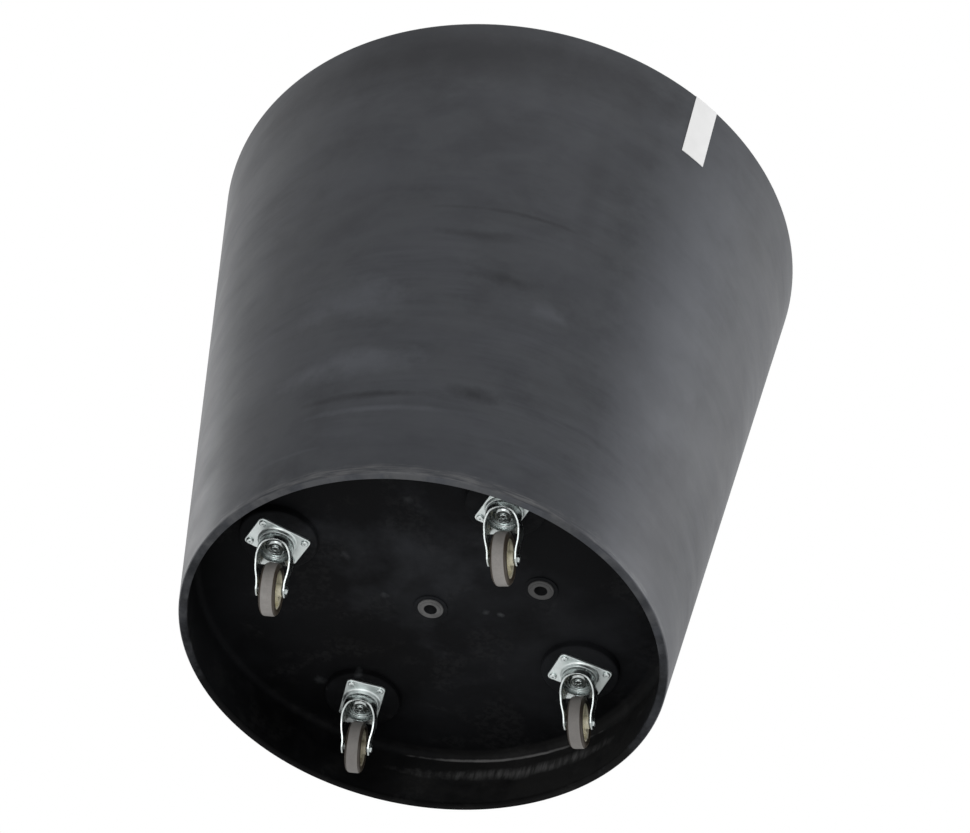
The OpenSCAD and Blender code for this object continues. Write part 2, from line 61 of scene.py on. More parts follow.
# %% Sizes, in millimetres
MM = 0.001
CASTERS = (1, 2, 3, 4)
TOP_R, BOTTOM_R, POT_H = 400, 300, 745
WALL, FLOOR, RIM_GAP = 11.1, 11, 12
RIM_TOP = RIM_GAP + POT_H
CASTER_H = 85                       # from the ground to the face of a boss
CASTER_R = 208                      # from the pot's axis to a kingpin
BOSS_H = 11                         # how far a boss stands out from the floor's underside
FLOOR_FALL = 0.05                   # the floor falls towards the middle
DRAINS = (0, 143)                   # from the pot's axis to each drain hole
PLATE_TURN = {1: 3, 2: 0, 3: -4, 4: -14}
SLOPE = (TOP_R - BOTTOM_R) / POT_H


def wall_outside(z):
    return BOTTOM_R + SLOPE * (z - RIM_GAP)


def under_floor(r):
    return CASTER_H + BOSS_H + FLOOR_FALL * (r - CASTER_R)


print("wall leans", round(SLOPE, 4), "floor underside at the axis", under_floor(0))

# %% [markdown]
# ## The camera
# The photograph looks up at the pot from below and from one side, through a long lens, and
# the camera is rolled a little, so the pot leans in the picture. A lens of about 104 mm
# and the place below were found by fitting both rims and all four casters. A long lens
# keeps the near and far rim almost the same size, as product pictures do.

# %% Camera
MIDDLE = Vector((0, 0, 0.38))       # the pot's middle, in metres
camera_data = bpy.data.cameras.new("picture_camera")
camera_data.lens = 104.2
camera_data.sensor_width = 36
camera = bpy.data.objects.new("picture_camera", camera_data)
camera.location = (1.2084, -2.2680, -2.2331)
camera.rotation_euler = (radians(136.733), radians(-8.316), radians(18.952))
bpy.context.scene.collection.objects.link(camera)
bpy.context.scene.camera = camera
print("camera is", round((camera.location - MIDDLE).length, 2), "m away")

# %% [markdown]
# ## Light
# Studio pictures of dark plastic use large soft lamps, because the plastic shows their
# reflection more than its own colour. One wide lamp on the right makes the long pale
# band along the wall, helped by painted sheen in the wall's colour. A weaker one on the
# left keeps the other edge readable, one low in front reaches into the recess, and one
# overhead serves the views from above. The world adds an even glow. Camera, glossy and
# transmission rays see it as plain white, so that the steel reflects a white studio.

# %% World
scene = bpy.context.scene
scene.view_settings.view_transform = "Standard"
GLOW = 0.55


def wire(tree, kind, inputs=None, **settings):
    """Adds a node. Sockets among the inputs are linked, and other values are set."""
    made = tree.nodes.new(kind)
    for key, value in settings.items():
        setattr(made, key, value)
    for key, value in (inputs or {}).items():
        if isinstance(value, bpy.types.NodeSocket):
            tree.links.new(value, made.inputs[key])
        else:
            made.inputs[key].default_value = value
    return made


def calc(tree, operation, first, second):
    """One step of arithmetic."""
    return wire(tree, "ShaderNodeMath", {0: first, 1: second}, operation=operation).outputs[0]


world = bpy.data.worlds.new("studio")
scene.world = world
world.use_nodes = True
tree = world.node_tree
tree.nodes.clear()
rays = wire(tree, "ShaderNodeLightPath")
seen = calc(tree, "MAXIMUM", rays.outputs["Is Camera Ray"], rays.outputs["Is Glossy Ray"])
seen = calc(tree, "MAXIMUM", seen, rays.outputs["Is Transmission Ray"])
glow = wire(tree, "ShaderNodeBackground", {"Color": (1, 1, 1, 1), "Strength": GLOW})
white = wire(tree, "ShaderNodeBackground", {"Color": (1, 1, 1, 1), "Strength": 1.0})
mixed = wire(tree, "ShaderNodeMixShader",
             {0: seen, 1: glow.outputs[0], 2: white.outputs[0]})
wire(tree, "ShaderNodeOutputWorld", {"Surface": mixed.outputs[0]})
print("world glow", GLOW)

# %% Lamps
def soft_lamp(name, bearing, height, distance, size, watts):
    """An area lamp on a compass bearing about the pot, aimed at the pot's middle."""
    data = bpy.data.lights.new(name, "AREA")
    data.shape = "RECTANGLE"
    data.size, data.size_y = size
    data.energy = watts
    lamp = bpy.data.objects.new(name, data)
    b, h = radians(bearing), radians(height)
    lamp.location = MIDDLE + distance * Vector((cos(h) * cos(b), cos(h) * sin(b), sin(h)))
    lamp.rotation_euler = (MIDDLE - lamp.location).to_track_quat("-Z", "Y").to_euler()
    scene.collection.objects.link(lamp)
    print(name, "at", [round(c, 2) for c in lamp.location])


soft_lamp("right_lamp", 22, 9, 3.2, (2.2, 2.8), 70)
soft_lamp("left_lamp", 174, 12, 3.2, (1.0, 2.4), 24)
soft_lamp("top_lamp", -60, 70, 3.4, (2.5, 2.5), 45)
soft_lamp("low_lamp", -75, -42, 3.6, (1.6, 1.6), 26)

# %% [markdown]
# ## The floor
# The planter stands on a pale studio floor, but this camera looks up through it. The
# floor's material therefore lets everything through except what a camera sees from
# above: from there it is a plain pale surface that catches the planter's shadow, and
# from below it is not there. Light Path and Backfacing tell the two apart.

# %% Studio floor
FLOOR_HALF = 6.0
bm = bmesh.new()
bmesh.ops.create_grid(bm, x_segments=1, y_segments=1, size=FLOOR_HALF)
mesh = bpy.data.meshes.new("studio_floor")
bm.to_mesh(mesh)
bm.free()
studio_floor = bpy.data.objects.new("studio_floor", mesh)
scene.collection.objects.link(studio_floor)

paper = bpy.data.materials.new("studio_paper")
paper.use_nodes = True
tree = paper.node_tree
tree.nodes.clear()
rays = wire(tree, "ShaderNodeLightPath")
side = wire(tree, "ShaderNodeNewGeometry")
above = calc(tree, "SUBTRACT", 1.0, side.outputs["Backfacing"])
shown = calc(tree, "MULTIPLY", rays.outputs["Is Camera Ray"], above)
matt = wire(tree, "ShaderNodeBsdfDiffuse", {"Color": (0.82, 0.82, 0.82, 1)})
clear = wire(tree, "ShaderNodeBsdfTransparent")
both = wire(tree, "ShaderNodeMixShader",
            {0: shown, 1: clear.outputs[0], 2: matt.outputs[0]})
wire(tree, "ShaderNodeOutputMaterial", {"Surface": both.outputs[0]})
studio_floor.data.materials.append(paper)
print("floor", 2 * FLOOR_HALF, "m wide")

# %% [markdown]
# ## Tools for shaping
# Nearly everything here is turned or moulded round, so most pieces begin as a few corners
# of a half section that is spun about the Z axis. Its hard rings are then bevelled, each
# with its own width, much as a toolmaker radiuses a mould. Two solids are joined or cut
# with the exact Boolean, which needs closed shapes.

# %% Spin, round and join
def spun(corners, steps=96, closed=False):
    """A closed skin from the corners (radius, height) of a half section."""
    bm = bmesh.new()
    verts = [bm.verts.new((r, 0, z)) for r, z in corners]
    follow = verts[1:] + verts[:1] if closed else verts[1:]
    edges = [bm.edges.new(pair) for pair in zip(verts, follow)]
    bmesh.ops.spin(bm, geom=verts + edges, cent=(0, 0, 0), axis=(0, 0, 1),
                   angle=2 * pi, steps=steps, use_merge=True)
    bmesh.ops.remove_doubles(bm, verts=bm.verts, dist=1e-4)
    bmesh.ops.recalc_face_normals(bm, faces=bm.faces)
    return bm


def rod(r, low, high, steps):
    """A round bar on the Z axis."""
    return spun([(0, low), (r, low), (r, high), (0, high)], steps)


def soften(bm, geom, width, segments, affect="EDGES", clamp=False):
    """Rounds off edges, or the corners of a flat face."""
    bmesh.ops.bevel(bm, geom=geom, offset=width, offset_type="OFFSET", affect=affect,
                    segments=segments, profile=0.5, material=-1, clamp_overlap=clamp)


def round_ring(bm, r, z, width, segments=5):
    """Softens the edges that run round at one radius and height."""
    def on(v):
        return abs(hypot(v.co.x, v.co.y) - r) < 0.05 and abs(v.co.z - z) < 0.05
    rings = [e for e in bm.edges if on(e.verts[0]) and on(e.verts[1])]
    soften(bm, rings, width, segments, clamp=True)


def boolean(solid, tool, operation):
    """Joins, cuts or crosses two closed solids. Both are used up."""
    pair = []
    for bm in (solid, tool):
        mesh = bpy.data.meshes.new("solid")
        bm.to_mesh(mesh)
        bm.free()
        pair.append(bpy.data.objects.new("solid", mesh))
        scene.collection.objects.link(pair[-1])
    modifier = pair[0].modifiers.new("boolean", "BOOLEAN")
    modifier.object, modifier.operation, modifier.solver = pair[1], operation, "EXACT"
    result = bmesh.new()
    result.from_object(pair[0], bpy.context.evaluated_depsgraph_get())
    for made in pair:
        mesh = made.data
        bpy.data.objects.remove(made)
        bpy.data.meshes.remove(mesh)
    bmesh.ops.remove_doubles(result, verts=result.verts, dist=1e-3)
    bmesh.ops.dissolve_degenerate(result, edges=result.edges, dist=1e-3)
    return result


def block(size, centre, turn=0):
    """A box of this size, turned about Z and then moved."""
    place = (Matrix.Translation(centre) @ Matrix.Rotation(radians(turn), 4, "Z")
             @ Matrix.Diagonal((*size, 1)))
    bm = bmesh.new()
    bmesh.ops.create_cube(bm, size=1, matrix=place)
    return bm


def gather(parts):
    """Several meshes as one."""
    whole = bmesh.new()
    for bm in parts:
        mesh = bpy.data.meshes.new("part")
        bm.to_mesh(mesh)
        bm.free()
        whole.from_mesh(mesh)
        bpy.data.meshes.remove(mesh)
    return whole


def swept(bm, way):
    """Carries a flat face along a vector, which leaves a closed prism."""
    grown = bmesh.ops.extrude_face_region(bm, geom=bm.faces[:])["geom"]
    bmesh.ops.translate(bm, vec=way, verts=[g for g in grown if isinstance(g, bmesh.types.BMVert)])
    bmesh.ops.recalc_face_normals(bm, faces=bm.faces)


def moved(bm, place):
    bmesh.ops.transform(bm, matrix=place, verts=bm.verts)
    return bm


def race_groove(ring_r, height, wire_r):
    """A round wire bent into a ring, to cut the track of a ring of balls."""
    wire = [2 * pi * k / 16 for k in range(16)]
    return spun([(ring_r + wire_r * cos(a), height + wire_r * sin(a)) for a in wire], 72,
                closed=True)


# %% [markdown]
# ## Finishing a piece
# A finished piece is smooth where the real one is curved and crisp where it has an edge.
# Edges sharper than a set angle are marked, and weighted normals keep the flat faces
# between them flat. The piece is then scaled to metres, with its object left at the
# origin, tied to the body it moves with, and the solid it stands for is hidden.

# %% Finish, ride and replace
dressed = {}


def finish_piece(name, bm, body, slot, nodes, place=Matrix(), crisp=32):
    """Turns a mesh in millimetres into a piece of the planter."""
    moved(bm, Matrix.Diagonal((MM, MM, MM, 1)) @ place)
    for face in bm.faces:
        face.smooth = True
    for edge in bm.edges:
        edge.smooth = edge.is_manifold and edge.calc_face_angle(0) < radians(crisp)
    mesh = bpy.data.meshes.new(name)
    bm.to_mesh(mesh)
    bm.free()
    piece = bpy.data.objects.new(name, mesh)
    scene.collection.objects.link(piece)
    weigh = piece.modifiers.new("weighted_normals", "WEIGHTED_NORMAL")
    weigh.keep_sharp = True
    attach(piece, body)
    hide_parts(*nodes)
    dressed.setdefault(slot, []).append(piece)
    print(name, len(mesh.polygons), "faces")
    return piece


# %% [markdown]
# ## The pot
# The real pot is moulded in one piece by turning a closed mould in an oven, which leaves
# an even wall, soft corners and faint streaks that run round it. Its floor is set up
# inside the bottom rim to make room for the casters. One half section, spun about the
# axis, gives both skins at once, and the bosses and drain lands are joined on, so the
# finished shell is a single closed mesh as in the mould.

# %% Pot shell
STEPS = 240
UNDER_UP, UNDER_R, UNDER_ROUND = 88.6, 300.8, 10.8    # where the underside meets the wall
SOIL_UP, SOIL_R, SOIL_ROUND = 99.9, 302.3, 20         # where the floor inside meets it
RIM_ROUND = 3
inside_low, inside_top = BOTTOM_R - WALL, TOP_R - WALL
under_corner = (inside_low + SLOPE * UNDER_UP, under_floor(UNDER_R))
soil_corner = (inside_low + SLOPE * SOIL_UP, under_floor(SOIL_R) + FLOOR)
shell = spun([(0, under_floor(0)), under_corner, (inside_low, RIM_GAP),
              (BOTTOM_R, RIM_GAP), (TOP_R, RIM_TOP), (inside_top, RIM_TOP),
              soil_corner, (0, under_floor(0) + FLOOR)], STEPS)
round_ring(shell, *soil_corner, SOIL_ROUND, 8)
round_ring(shell, *under_corner, UNDER_ROUND, 6)
for r, z in ((inside_low, RIM_GAP), (BOTTOM_R, RIM_GAP), (inside_top, RIM_TOP), (TOP_R, RIM_TOP)):
    round_ring(shell, r, z, RIM_ROUND)
print("shell", len(shell.faces), "faces before the bosses")

# %% Bosses, drain lands and holes
BOSS_R, BOSS_ROUND = 49, 3
LAND_R, LAND_H, NECK_R = 21, 1.4, 10.6


def caster_centre(i):
    x, y, _ = joints[f"swivel_{i}"]["pos_m"]
    return Matrix.Translation((x / MM, y / MM, 0))


raised = []
for i in CASTERS:
    top = under_floor(CASTER_R) + FLOOR / 2
    boss = rod(BOSS_R, CASTER_H, top, 96)
    round_ring(boss, BOSS_R, CASTER_H, BOSS_ROUND)
    raised.append(moved(boss, caster_centre(i)))
for r in DRAINS:
    low = under_floor(r) - LAND_H
    land = rod(LAND_R, low, low + 5, 64)
    round_ring(land, LAND_R, low, 0.8, 3)
    raised.append(moved(land, Matrix.Translation((r, 0, 0))))
shell = boolean(shell, gather(raised), "UNION")

sunk = []
for r in DRAINS:
    low = under_floor(r) + FLOOR - LAND_H
    bore = spun([(0, low - 20), (NECK_R, low - 20), (NECK_R, low), (LAND_R, low),
                 (LAND_R, low + 8), (0, low + 8)], 64)
    sunk.append(moved(bore, Matrix.Translation((r, 0, 0))))
shell = boolean(shell, gather(sunk), "DIFFERENCE")
pot = finish_piece("moulded_pot", shell, "pot", "shell_plastic", ["pot_shell"])

# %% [markdown]
# ## Drain grommets
# Each drain hole is lined by a soft moulded ring that is pushed in until its two flanges
# grip the floor. Seen from below it is a flat doughnut with a fine step near its edge.
# A closed half section is spun, and every corner is softened, because rubber has none.

# %% Grommets
BORE_R, FLANGE_R, FLANGE_T = 7.5, 16, 2.4
INNER_FLANGE_R, INNER_FLANGE_T = 14.5, 1.8
STEP_R, STEP_H = FLANGE_R - 3, 0.6
for number, r in enumerate(DRAINS, 1):
    low = under_floor(r) - LAND_H
    high = under_floor(r) + FLOOR - LAND_H
    foot = low - FLANGE_T
    grommet = spun([(BORE_R, foot), (STEP_R, foot), (STEP_R, foot + STEP_H),
                    (FLANGE_R, foot + STEP_H), (FLANGE_R, low),
                    (NECK_R - 0.1, low), (NECK_R - 0.1, high), (INNER_FLANGE_R, high),
                    (INNER_FLANGE_R, high + INNER_FLANGE_T),
                    (BORE_R, high + INNER_FLANGE_T)], 72, closed=True)
    round_ring(grommet, BORE_R, foot, 1.6, 5)
    round_ring(grommet, STEP_R, foot, 0.5, 3)
    round_ring(grommet, FLANGE_R, foot + STEP_H, 1.0, 4)
    round_ring(grommet, INNER_FLANGE_R, high + INNER_FLANGE_T, 0.8, 4)
    round_ring(grommet, BORE_R, high + INNER_FLANGE_T, 0.8, 4)
    finish_piece(f"grommet_{number}", grommet, "pot", "drain_rubber",
                 [f"drain_grommet_{number}"], Matrix.Translation((r, 0, 0)))

# %% [markdown]
# ## The card strip
# A strip of coated white card hangs over the top rim. Card bends in one direction only,
# so it follows the wall down both sides and turns over the rim in one smooth bend. The
# strip is spun from its side view through a few degrees, trimmed to parallel edges and
# given its thickness.

# %% Card strip
CARD_T, CARD_GAP, CARD_HALF = 0.6, 0.1, 18.75
CARD_OUT, CARD_IN, CARD_BEARING = 105, 60, -29.5
CARD_BEND, CARD_SPIN = 3.6, 8       # the bend's radius, and the degrees that are spun
off = CARD_GAP + CARD_T
card = bmesh.new()
path = [(wall_outside(RIM_TOP - CARD_OUT) + off, RIM_TOP - CARD_OUT),
        (TOP_R + off, RIM_TOP + off), (inside_top - off, RIM_TOP + off),
        (wall_outside(RIM_TOP - CARD_IN) - WALL - off, RIM_TOP - CARD_IN)]
verts = [card.verts.new((r, 0, z)) for r, z in path]
edges = [card.edges.new(pair) for pair in zip(verts, verts[1:])]
bmesh.ops.rotate(card, verts=verts, cent=(0, 0, 0),
                 matrix=Matrix.Rotation(-radians(CARD_SPIN) / 2, 3, "Z"))
bmesh.ops.spin(card, geom=verts + edges, cent=(0, 0, 0), axis=(0, 0, 1),
               angle=radians(CARD_SPIN), steps=16)
for r, z in path[1:3]:
    round_ring(card, r, z, CARD_BEND, 8)
for side in (-1, 1):
    everything = card.verts[:] + card.edges[:] + card.faces[:]
    bmesh.ops.bisect_plane(card, geom=everything, dist=1e-4, clear_outer=True,
                           plane_co=(0, side * CARD_HALF, 0), plane_no=(0, side, 0))
bmesh.ops.recalc_face_normals(card, faces=card.faces)
outer_face = max(card.faces, key=lambda f: f.calc_center_median().x)
if outer_face.normal.x < 0:
    bmesh.ops.reverse_faces(card, faces=card.faces)
bmesh.ops.solidify(card, geom=card.faces[:], thickness=CARD_T)
finish_piece("card_strip", card, "pot", "label_card", ["rim_label"],
             Matrix.Rotation(radians(CARD_BEARING), 4, "Z"))

# %% [markdown]
# ## Where each caster stands
# Every caster has three places. The plate is screwed down a few degrees off square, the
# fork points the way the wheel trails, and the wheel turns about the axle. The joints of
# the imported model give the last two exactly, so they are read from it. The casters are
# alike, so a piece is shaped once and copied to all four.

# %% Places of a caster
def plate_place(i):
    x, y, _ = joints[f"swivel_{i}"]["pos_m"]
    bearing = atan2(y, x) + radians(PLATE_TURN[i])
    return caster_centre(i) @ Matrix.Rotation(bearing, 4, "Z")


def fork_place(i):
    x0, y0, _ = joints[f"swivel_{i}"]["pos_m"]
    x1, y1, _ = joints[f"wheel_spin_{i}"]["pos_m"]
    return caster_centre(i) @ Matrix.Rotation(atan2(y1 - y0, x1 - x0), 4, "Z")


TRAIL, AXLE_Z = 31.5, 32.5


def wheel_place(i):
    return (fork_place(i) @ Matrix.Translation((TRAIL, 0, AXLE_Z))
            @ Matrix.Rotation(radians(90), 4, "X"))


def on_casters(rows, place, body, crisp=32):
    """Copies pieces to all four casters. A row is (name, mesh, slot, node)."""
    made = []
    for i in CASTERS:
        for name, mesh, slot, node in rows:
            made.append(finish_piece(name.format(i), mesh.copy(), body.format(i), slot,
                                     [node.format(i)], place(i), crisp))
    for row in rows:
        row[1].free()
    return made


print("caster 1 trails towards", [round(c, 3) for c in fork_place(1).to_3x3().col[0]])

# %% [markdown]
# ## Top plate
# The plate is blanked from steel sheet and pressed. The press leaves rounded corners, soft
# edges and a round step that holds the upper balls, with a small flare where the step
# leaves the flat. A slab and a spun step are joined, and four holes are cut for screws.

# %% Top plates
PLATE_L, PLATE_W, PLATE_T, PLATE_CORNER = 70, 50, 2.5, 6
PLATE_Z = CASTER_H - PLATE_T
RACE_R, RACE_Z, SKIRT_Z, SKIRT_W = 22.5, 79, 77, 1.6
HOLES = [(x, y) for x in (-28.5, 28.5) for y in (-18.5, 18.5)]
HOLE_R, KINGPIN_R = 3.1, 4
FLARE_W, FLARE_H, FLARE_ROUND = 1.9, 1.6, 1.4


def upright(bm):
    return [e for e in bm.edges
            if abs((e.verts[0].co - e.verts[1].co).normalized().z) > 0.99]


def pressed_plate():
    slab = block((PLATE_L, PLATE_W, PLATE_T), (0, 0, PLATE_Z + PLATE_T / 2))
    soften(slab, upright(slab), PLATE_CORNER, 8)
    low = [e for e in slab.edges if all(v.co.z < PLATE_Z + 0.1 for v in e.verts)]
    soften(slab, low, 0.7, 4)
    step = spun([(0, RACE_Z), (RACE_R - SKIRT_W, RACE_Z), (RACE_R - SKIRT_W, SKIRT_Z),
                 (RACE_R, SKIRT_Z), (RACE_R, PLATE_Z - FLARE_H),
                 (RACE_R + FLARE_W, PLATE_Z + 0.01), (RACE_R + FLARE_W, PLATE_Z + 1),
                 (0, PLATE_Z + 1)], 96)
    round_ring(step, RACE_R, SKIRT_Z, 0.75, 4)
    round_ring(step, RACE_R - SKIRT_W, SKIRT_Z, 0.6, 4)
    round_ring(step, RACE_R, PLATE_Z - FLARE_H, FLARE_ROUND)
    plate = boolean(slab, step, "UNION")
    drills = [moved(rod(HOLE_R, PLATE_Z - 3, CASTER_H + 3, 32), Matrix.Translation((x, y, 0)))
              for x, y in HOLES]
    drills.append(rod(KINGPIN_R, 70, 90, 48))
    return boolean(plate, gather(drills), "DIFFERENCE")


on_casters([("caster_plate_{}", pressed_plate(), "zinc_plate", "top_plate_{}")],
           plate_place, "pot")

# %% [markdown]
# ## Screws
# Pan-head screws with a cross recess hold each plate. The head is a spun half section
# with a wide bevel for its crown, and the recess is cut by two crossed bars that narrow
# towards the tip, as the driver does. All four screws of a plate make one piece.

# %% Plate screws
SCREW_R, SCREW_L, HEAD_R, HEAD_H = 2.4, 16, 4.7, 2.6
CROSS_L, CROSS_W, CROSS_DEPTH = 4.6, 1.0, 1.3


def cross_head_screw():
    body = spun([(0, -HEAD_H), (HEAD_R, -HEAD_H), (HEAD_R, 0), (SCREW_R, 0),
                 (SCREW_R, SCREW_L), (0, SCREW_L)], 32)
    round_ring(body, HEAD_R, -HEAD_H, 1.7, 5)
    for a in (0, 90):
        bar = block((CROSS_L, CROSS_W, 2 * CROSS_DEPTH), (0, 0, -HEAD_H), a)
        deep = [v for v in bar.verts if v.co.z > -HEAD_H]
        bmesh.ops.scale(bar, vec=(0.55, 0.55, 1), verts=deep)
        body = boolean(body, bar, "DIFFERENCE")
    return body


one_screw = cross_head_screw()
for i in CASTERS:
    four = []
    for n, (x, y) in enumerate(HOLES):
        rest = Matrix.Rotation(radians(20 + 37 * n * i), 4, "Z")
        four.append(moved(one_screw.copy(), Matrix.Translation((x, y, PLATE_Z)) @ rest))
    finish_piece(f"screws_{i}", gather(four), "pot", "screw_steel",
                 [f"plate_screws_{i}"], plate_place(i))
one_screw.free()

# %% [markdown]
# ## Kingpin, cup and balls
# A rivet holds the swivel together. Its small head is staked over, which leaves a few
# radial nicks round a dimple, and it sits in a hollow pressed into the cup. The cup
# carries the lower ring of balls, and the upper ring runs between fork and plate. The
# balls hardly show, so they are low-count spheres, but they are all there.

# %% Kingpins
CUP_Z, CUP_T, HOLLOW_R, HOLLOW = 69.6, 2.4, 8.4, 0.9
SEAT, PIN_HEAD_R, PIN_HEAD_H = CUP_Z + HOLLOW, 5.5, 2.0
DIMPLE_R, DIMPLE_FLOOR_R, DIMPLE = 2.4, 1.7, 0.6
NICK_L, NICK_W = 8.6, 0.7


def staked_rivet():
    foot = SEAT - PIN_HEAD_H
    pin = spun([(0, foot + DIMPLE), (DIMPLE_FLOOR_R, foot + DIMPLE), (DIMPLE_R, foot),
                (PIN_HEAD_R, foot), (PIN_HEAD_R, SEAT), (KINGPIN_R, SEAT),
                (KINGPIN_R, CASTER_H), (0, CASTER_H)], 64)
    round_ring(pin, PIN_HEAD_R, foot, 1.5, 6)
    round_ring(pin, DIMPLE_R, foot, 0.3, 3)
    for a in (10, 70, 130):
        nick = block((NICK_L, NICK_W, NICK_W), (0, 0, foot), a)
        pin = boolean(pin, nick, "DIFFERENCE")
    return pin


on_casters([("rivet_{}", staked_rivet(), "screw_steel", "kingpin_{}")], caster_centre, "pot")

# %% Race cups
CUP_R, CUP_FOOT_R, CUP_WALL, CUP_LIP = 13, 10.5, 1.4, 1.0
CUP_EDGE = CUP_Z + 2.2              # where the slanting foot meets the upright wall
UPPER_ROW, LOWER_ROW = (16.5, 77.6), (9.4, 73.0)    # radius and height of each ring of balls
UPPER_TRACK, LOWER_TRACK = 2.3, 1.65                # radius of the track each ring runs in
rim = CUP_Z + CUP_T + CUP_LIP
cup = spun([(KINGPIN_R, SEAT), (HOLLOW_R - 0.4, SEAT), (HOLLOW_R, CUP_Z), (CUP_FOOT_R, CUP_Z),
            (CUP_R, CUP_EDGE), (CUP_R, rim), (CUP_R - CUP_WALL, rim),
            (CUP_R - CUP_WALL, CUP_Z + CUP_T), (KINGPIN_R, CUP_Z + CUP_T)], 80, closed=True)
round_ring(cup, HOLLOW_R, CUP_Z, 0.35, 3)
round_ring(cup, CUP_FOOT_R, CUP_Z, 0.6, 5)
round_ring(cup, CUP_R, CUP_EDGE, 0.8, 4)
round_ring(cup, CUP_R, rim, 0.5, 3)
cup = boolean(cup, race_groove(*LOWER_ROW, LOWER_TRACK), "DIFFERENCE")
on_casters([("lower_race_{}", cup, "zinc_plate", "race_cup_{}")], caster_centre, "pot")

# %% Ball rings
BALL_ROWS = ((19, *UPPER_ROW, 2.25), (15, *LOWER_ROW, 1.6))
balls = bmesh.new()
for count, ring_r, height, ball_r in BALL_ROWS:
    for k in range(count):
        a = 2 * pi * k / count
        place = Matrix.Translation((ring_r * cos(a), ring_r * sin(a), height))
        bmesh.ops.create_icosphere(balls, subdivisions=2, radius=ball_r, matrix=place)
on_casters([("ball_rings_{}", balls, "ball_steel", "swivel_balls_{}")], caster_centre, "pot",
           crisp=60)

# %% [markdown]
# ## The fork
# The real fork is drawn from one sheet of steel: the press first makes a shallow round
# cup, and the sheet left on at two sides comes down as legs that lean in towards the
# wheel. The same solid is had by carving. A full outside is shaped from the round cup and
# the two flat legs, trimmed to its side view and hollowed by a copy one sheet smaller.

# %% Outside and inside of the fork
FORK_T, CROWN_TOP, LIP_Z = 2.2, 76.2, 66
CUP_HALF, CUP_BEND, CUP_FOOT = 21.8, 4.0, 46
LEG_WIDE, LEG_SLIM, LEG_BACK = 21.6, 18.0, 24
LEAN_FROM, LEAN_TO, KNEE_BEND = 25.5, 9.5, 5    # heights above the axle, along the leg
LEG_TILT = atan2(TRAIL, LIP_Z - AXLE_Z)


def drawn_cup(inset):
    r, top, foot = CUP_HALF - inset, CROWN_TOP - inset, CUP_FOOT - inset
    cup = rod(r, foot, top, 128)
    round_ring(cup, r, top, CUP_BEND - inset, 7)
    return cup


def leaning_legs(inset):
    """Both legs as one bar, seen end on, whose two knees are bent softly."""
    wide, slim, far = LEG_WIDE - inset, LEG_SLIM - inset, 70
    half = [(slim, -far), (slim, LEAN_TO), (wide, LEAN_FROM), (wide, far)]
    bm = bmesh.new()
    corners = half + [(-y, v) for y, v in reversed(half)]
    bm.faces.new([bm.verts.new((-far, y, v)) for y, v in corners])
    swept(bm, (2 * far, 0, 0))
    knees = [e for e in bm.edges if abs(e.verts[0].co.x - e.verts[1].co.x) > far
             and min(abs(e.verts[0].co.z - v) for v in (LEAN_FROM, LEAN_TO)) < 0.1]
    soften(bm, knees, KNEE_BEND, 6)
    moved(bm, Matrix.Translation((TRAIL, 0, AXLE_Z)) @ Matrix.Rotation(-LEG_TILT, 4, "Y"))
    low = block((80, 60, LIP_Z + 1), (40, 0, (LIP_Z - 1) / 2))
    if inset:
        return boolean(bm, low, "INTERSECT")
    shoulder = block((LEG_BACK, 62, LIP_Z + FORK_T), (LEG_BACK / 2, 0, (LIP_Z + FORK_T) / 2))
    return boolean(bm, boolean(low, shoulder, "UNION"), "INTERSECT")


print("the legs lean back", round(LEG_TILT * 180 / pi, 1), "degrees")

# %% Side view of the fork
# Corners as (distance behind the kingpin, height, how far the corner is rounded off).
SIDE_VIEW = [(-24, 80, 0), (-24, LIP_Z, 0), (-16.4, LIP_Z, 3.5), (2.5, 50, 4), (19.5, 29, 6),
             (25, 23, 4), (41, 23, 9.4), (41, 35.7, 4), (25.7, 55.5, 7),
             (LEG_BACK, LIP_Z, 0), (LEG_BACK + 1, LIP_Z, 0), (LEG_BACK + 1, 80, 0)]
SIDE_HALF = 30


def side_view():
    bm = bmesh.new()
    bm.faces.new([bm.verts.new((x, SIDE_HALF, z)) for x, z, _ in SIDE_VIEW])
    for x, z, width in SIDE_VIEW:
        if width:
            corner = [v for v in bm.verts if hypot(v.co.x - x, v.co.z - z) < 0.01]
            soften(bm, corner, width, 8, affect="VERTICES")
    swept(bm, (0, -2 * SIDE_HALF, 0))
    return bm


# %% Carve the fork
PIN_HOLE_R, AXLE_HOLE_R = 4.5, 3.2


def drawn_fork():
    fork = boolean(drawn_cup(0), leaning_legs(0), "UNION")
    fork = boolean(fork, side_view(), "INTERSECT")
    fork = boolean(fork, drawn_cup(FORK_T), "DIFFERENCE")
    fork = boolean(fork, leaning_legs(FORK_T), "DIFFERENCE")
    pin_hole = rod(PIN_HOLE_R, 60, 90, 48)
    axle_hole = moved(rod(AXLE_HOLE_R, -40, 40, 40),
                      Matrix.Translation((TRAIL, 0, AXLE_Z)) @ Matrix.Rotation(pi / 2, 4, "X"))
    tracks = [race_groove(*UPPER_ROW, UPPER_TRACK), race_groove(*LOWER_ROW, LOWER_TRACK)]
    fork = boolean(fork, gather([pin_hole, axle_hole] + tracks), "DIFFERENCE")
    bmesh.ops.remove_doubles(fork, verts=fork.verts, dist=0.02)
    bmesh.ops.dissolve_limit(fork, angle_limit=radians(0.5), verts=fork.verts,
                             edges=fork.edges)
    return fork


for fork in on_casters([("fork_{}_pressed", drawn_fork(), "fork_steel", "fork_{}")],
                       fork_place, "swivel_{}"):
    edge = fork.modifiers.new("soft_edges", "BEVEL")
    edge.width, edge.segments, edge.limit_method = 0.35 * MM, 2, "ANGLE"
    edge.angle_limit, edge.use_clamp_overlap = radians(50), False
    fork.modifiers.move(1, 0)

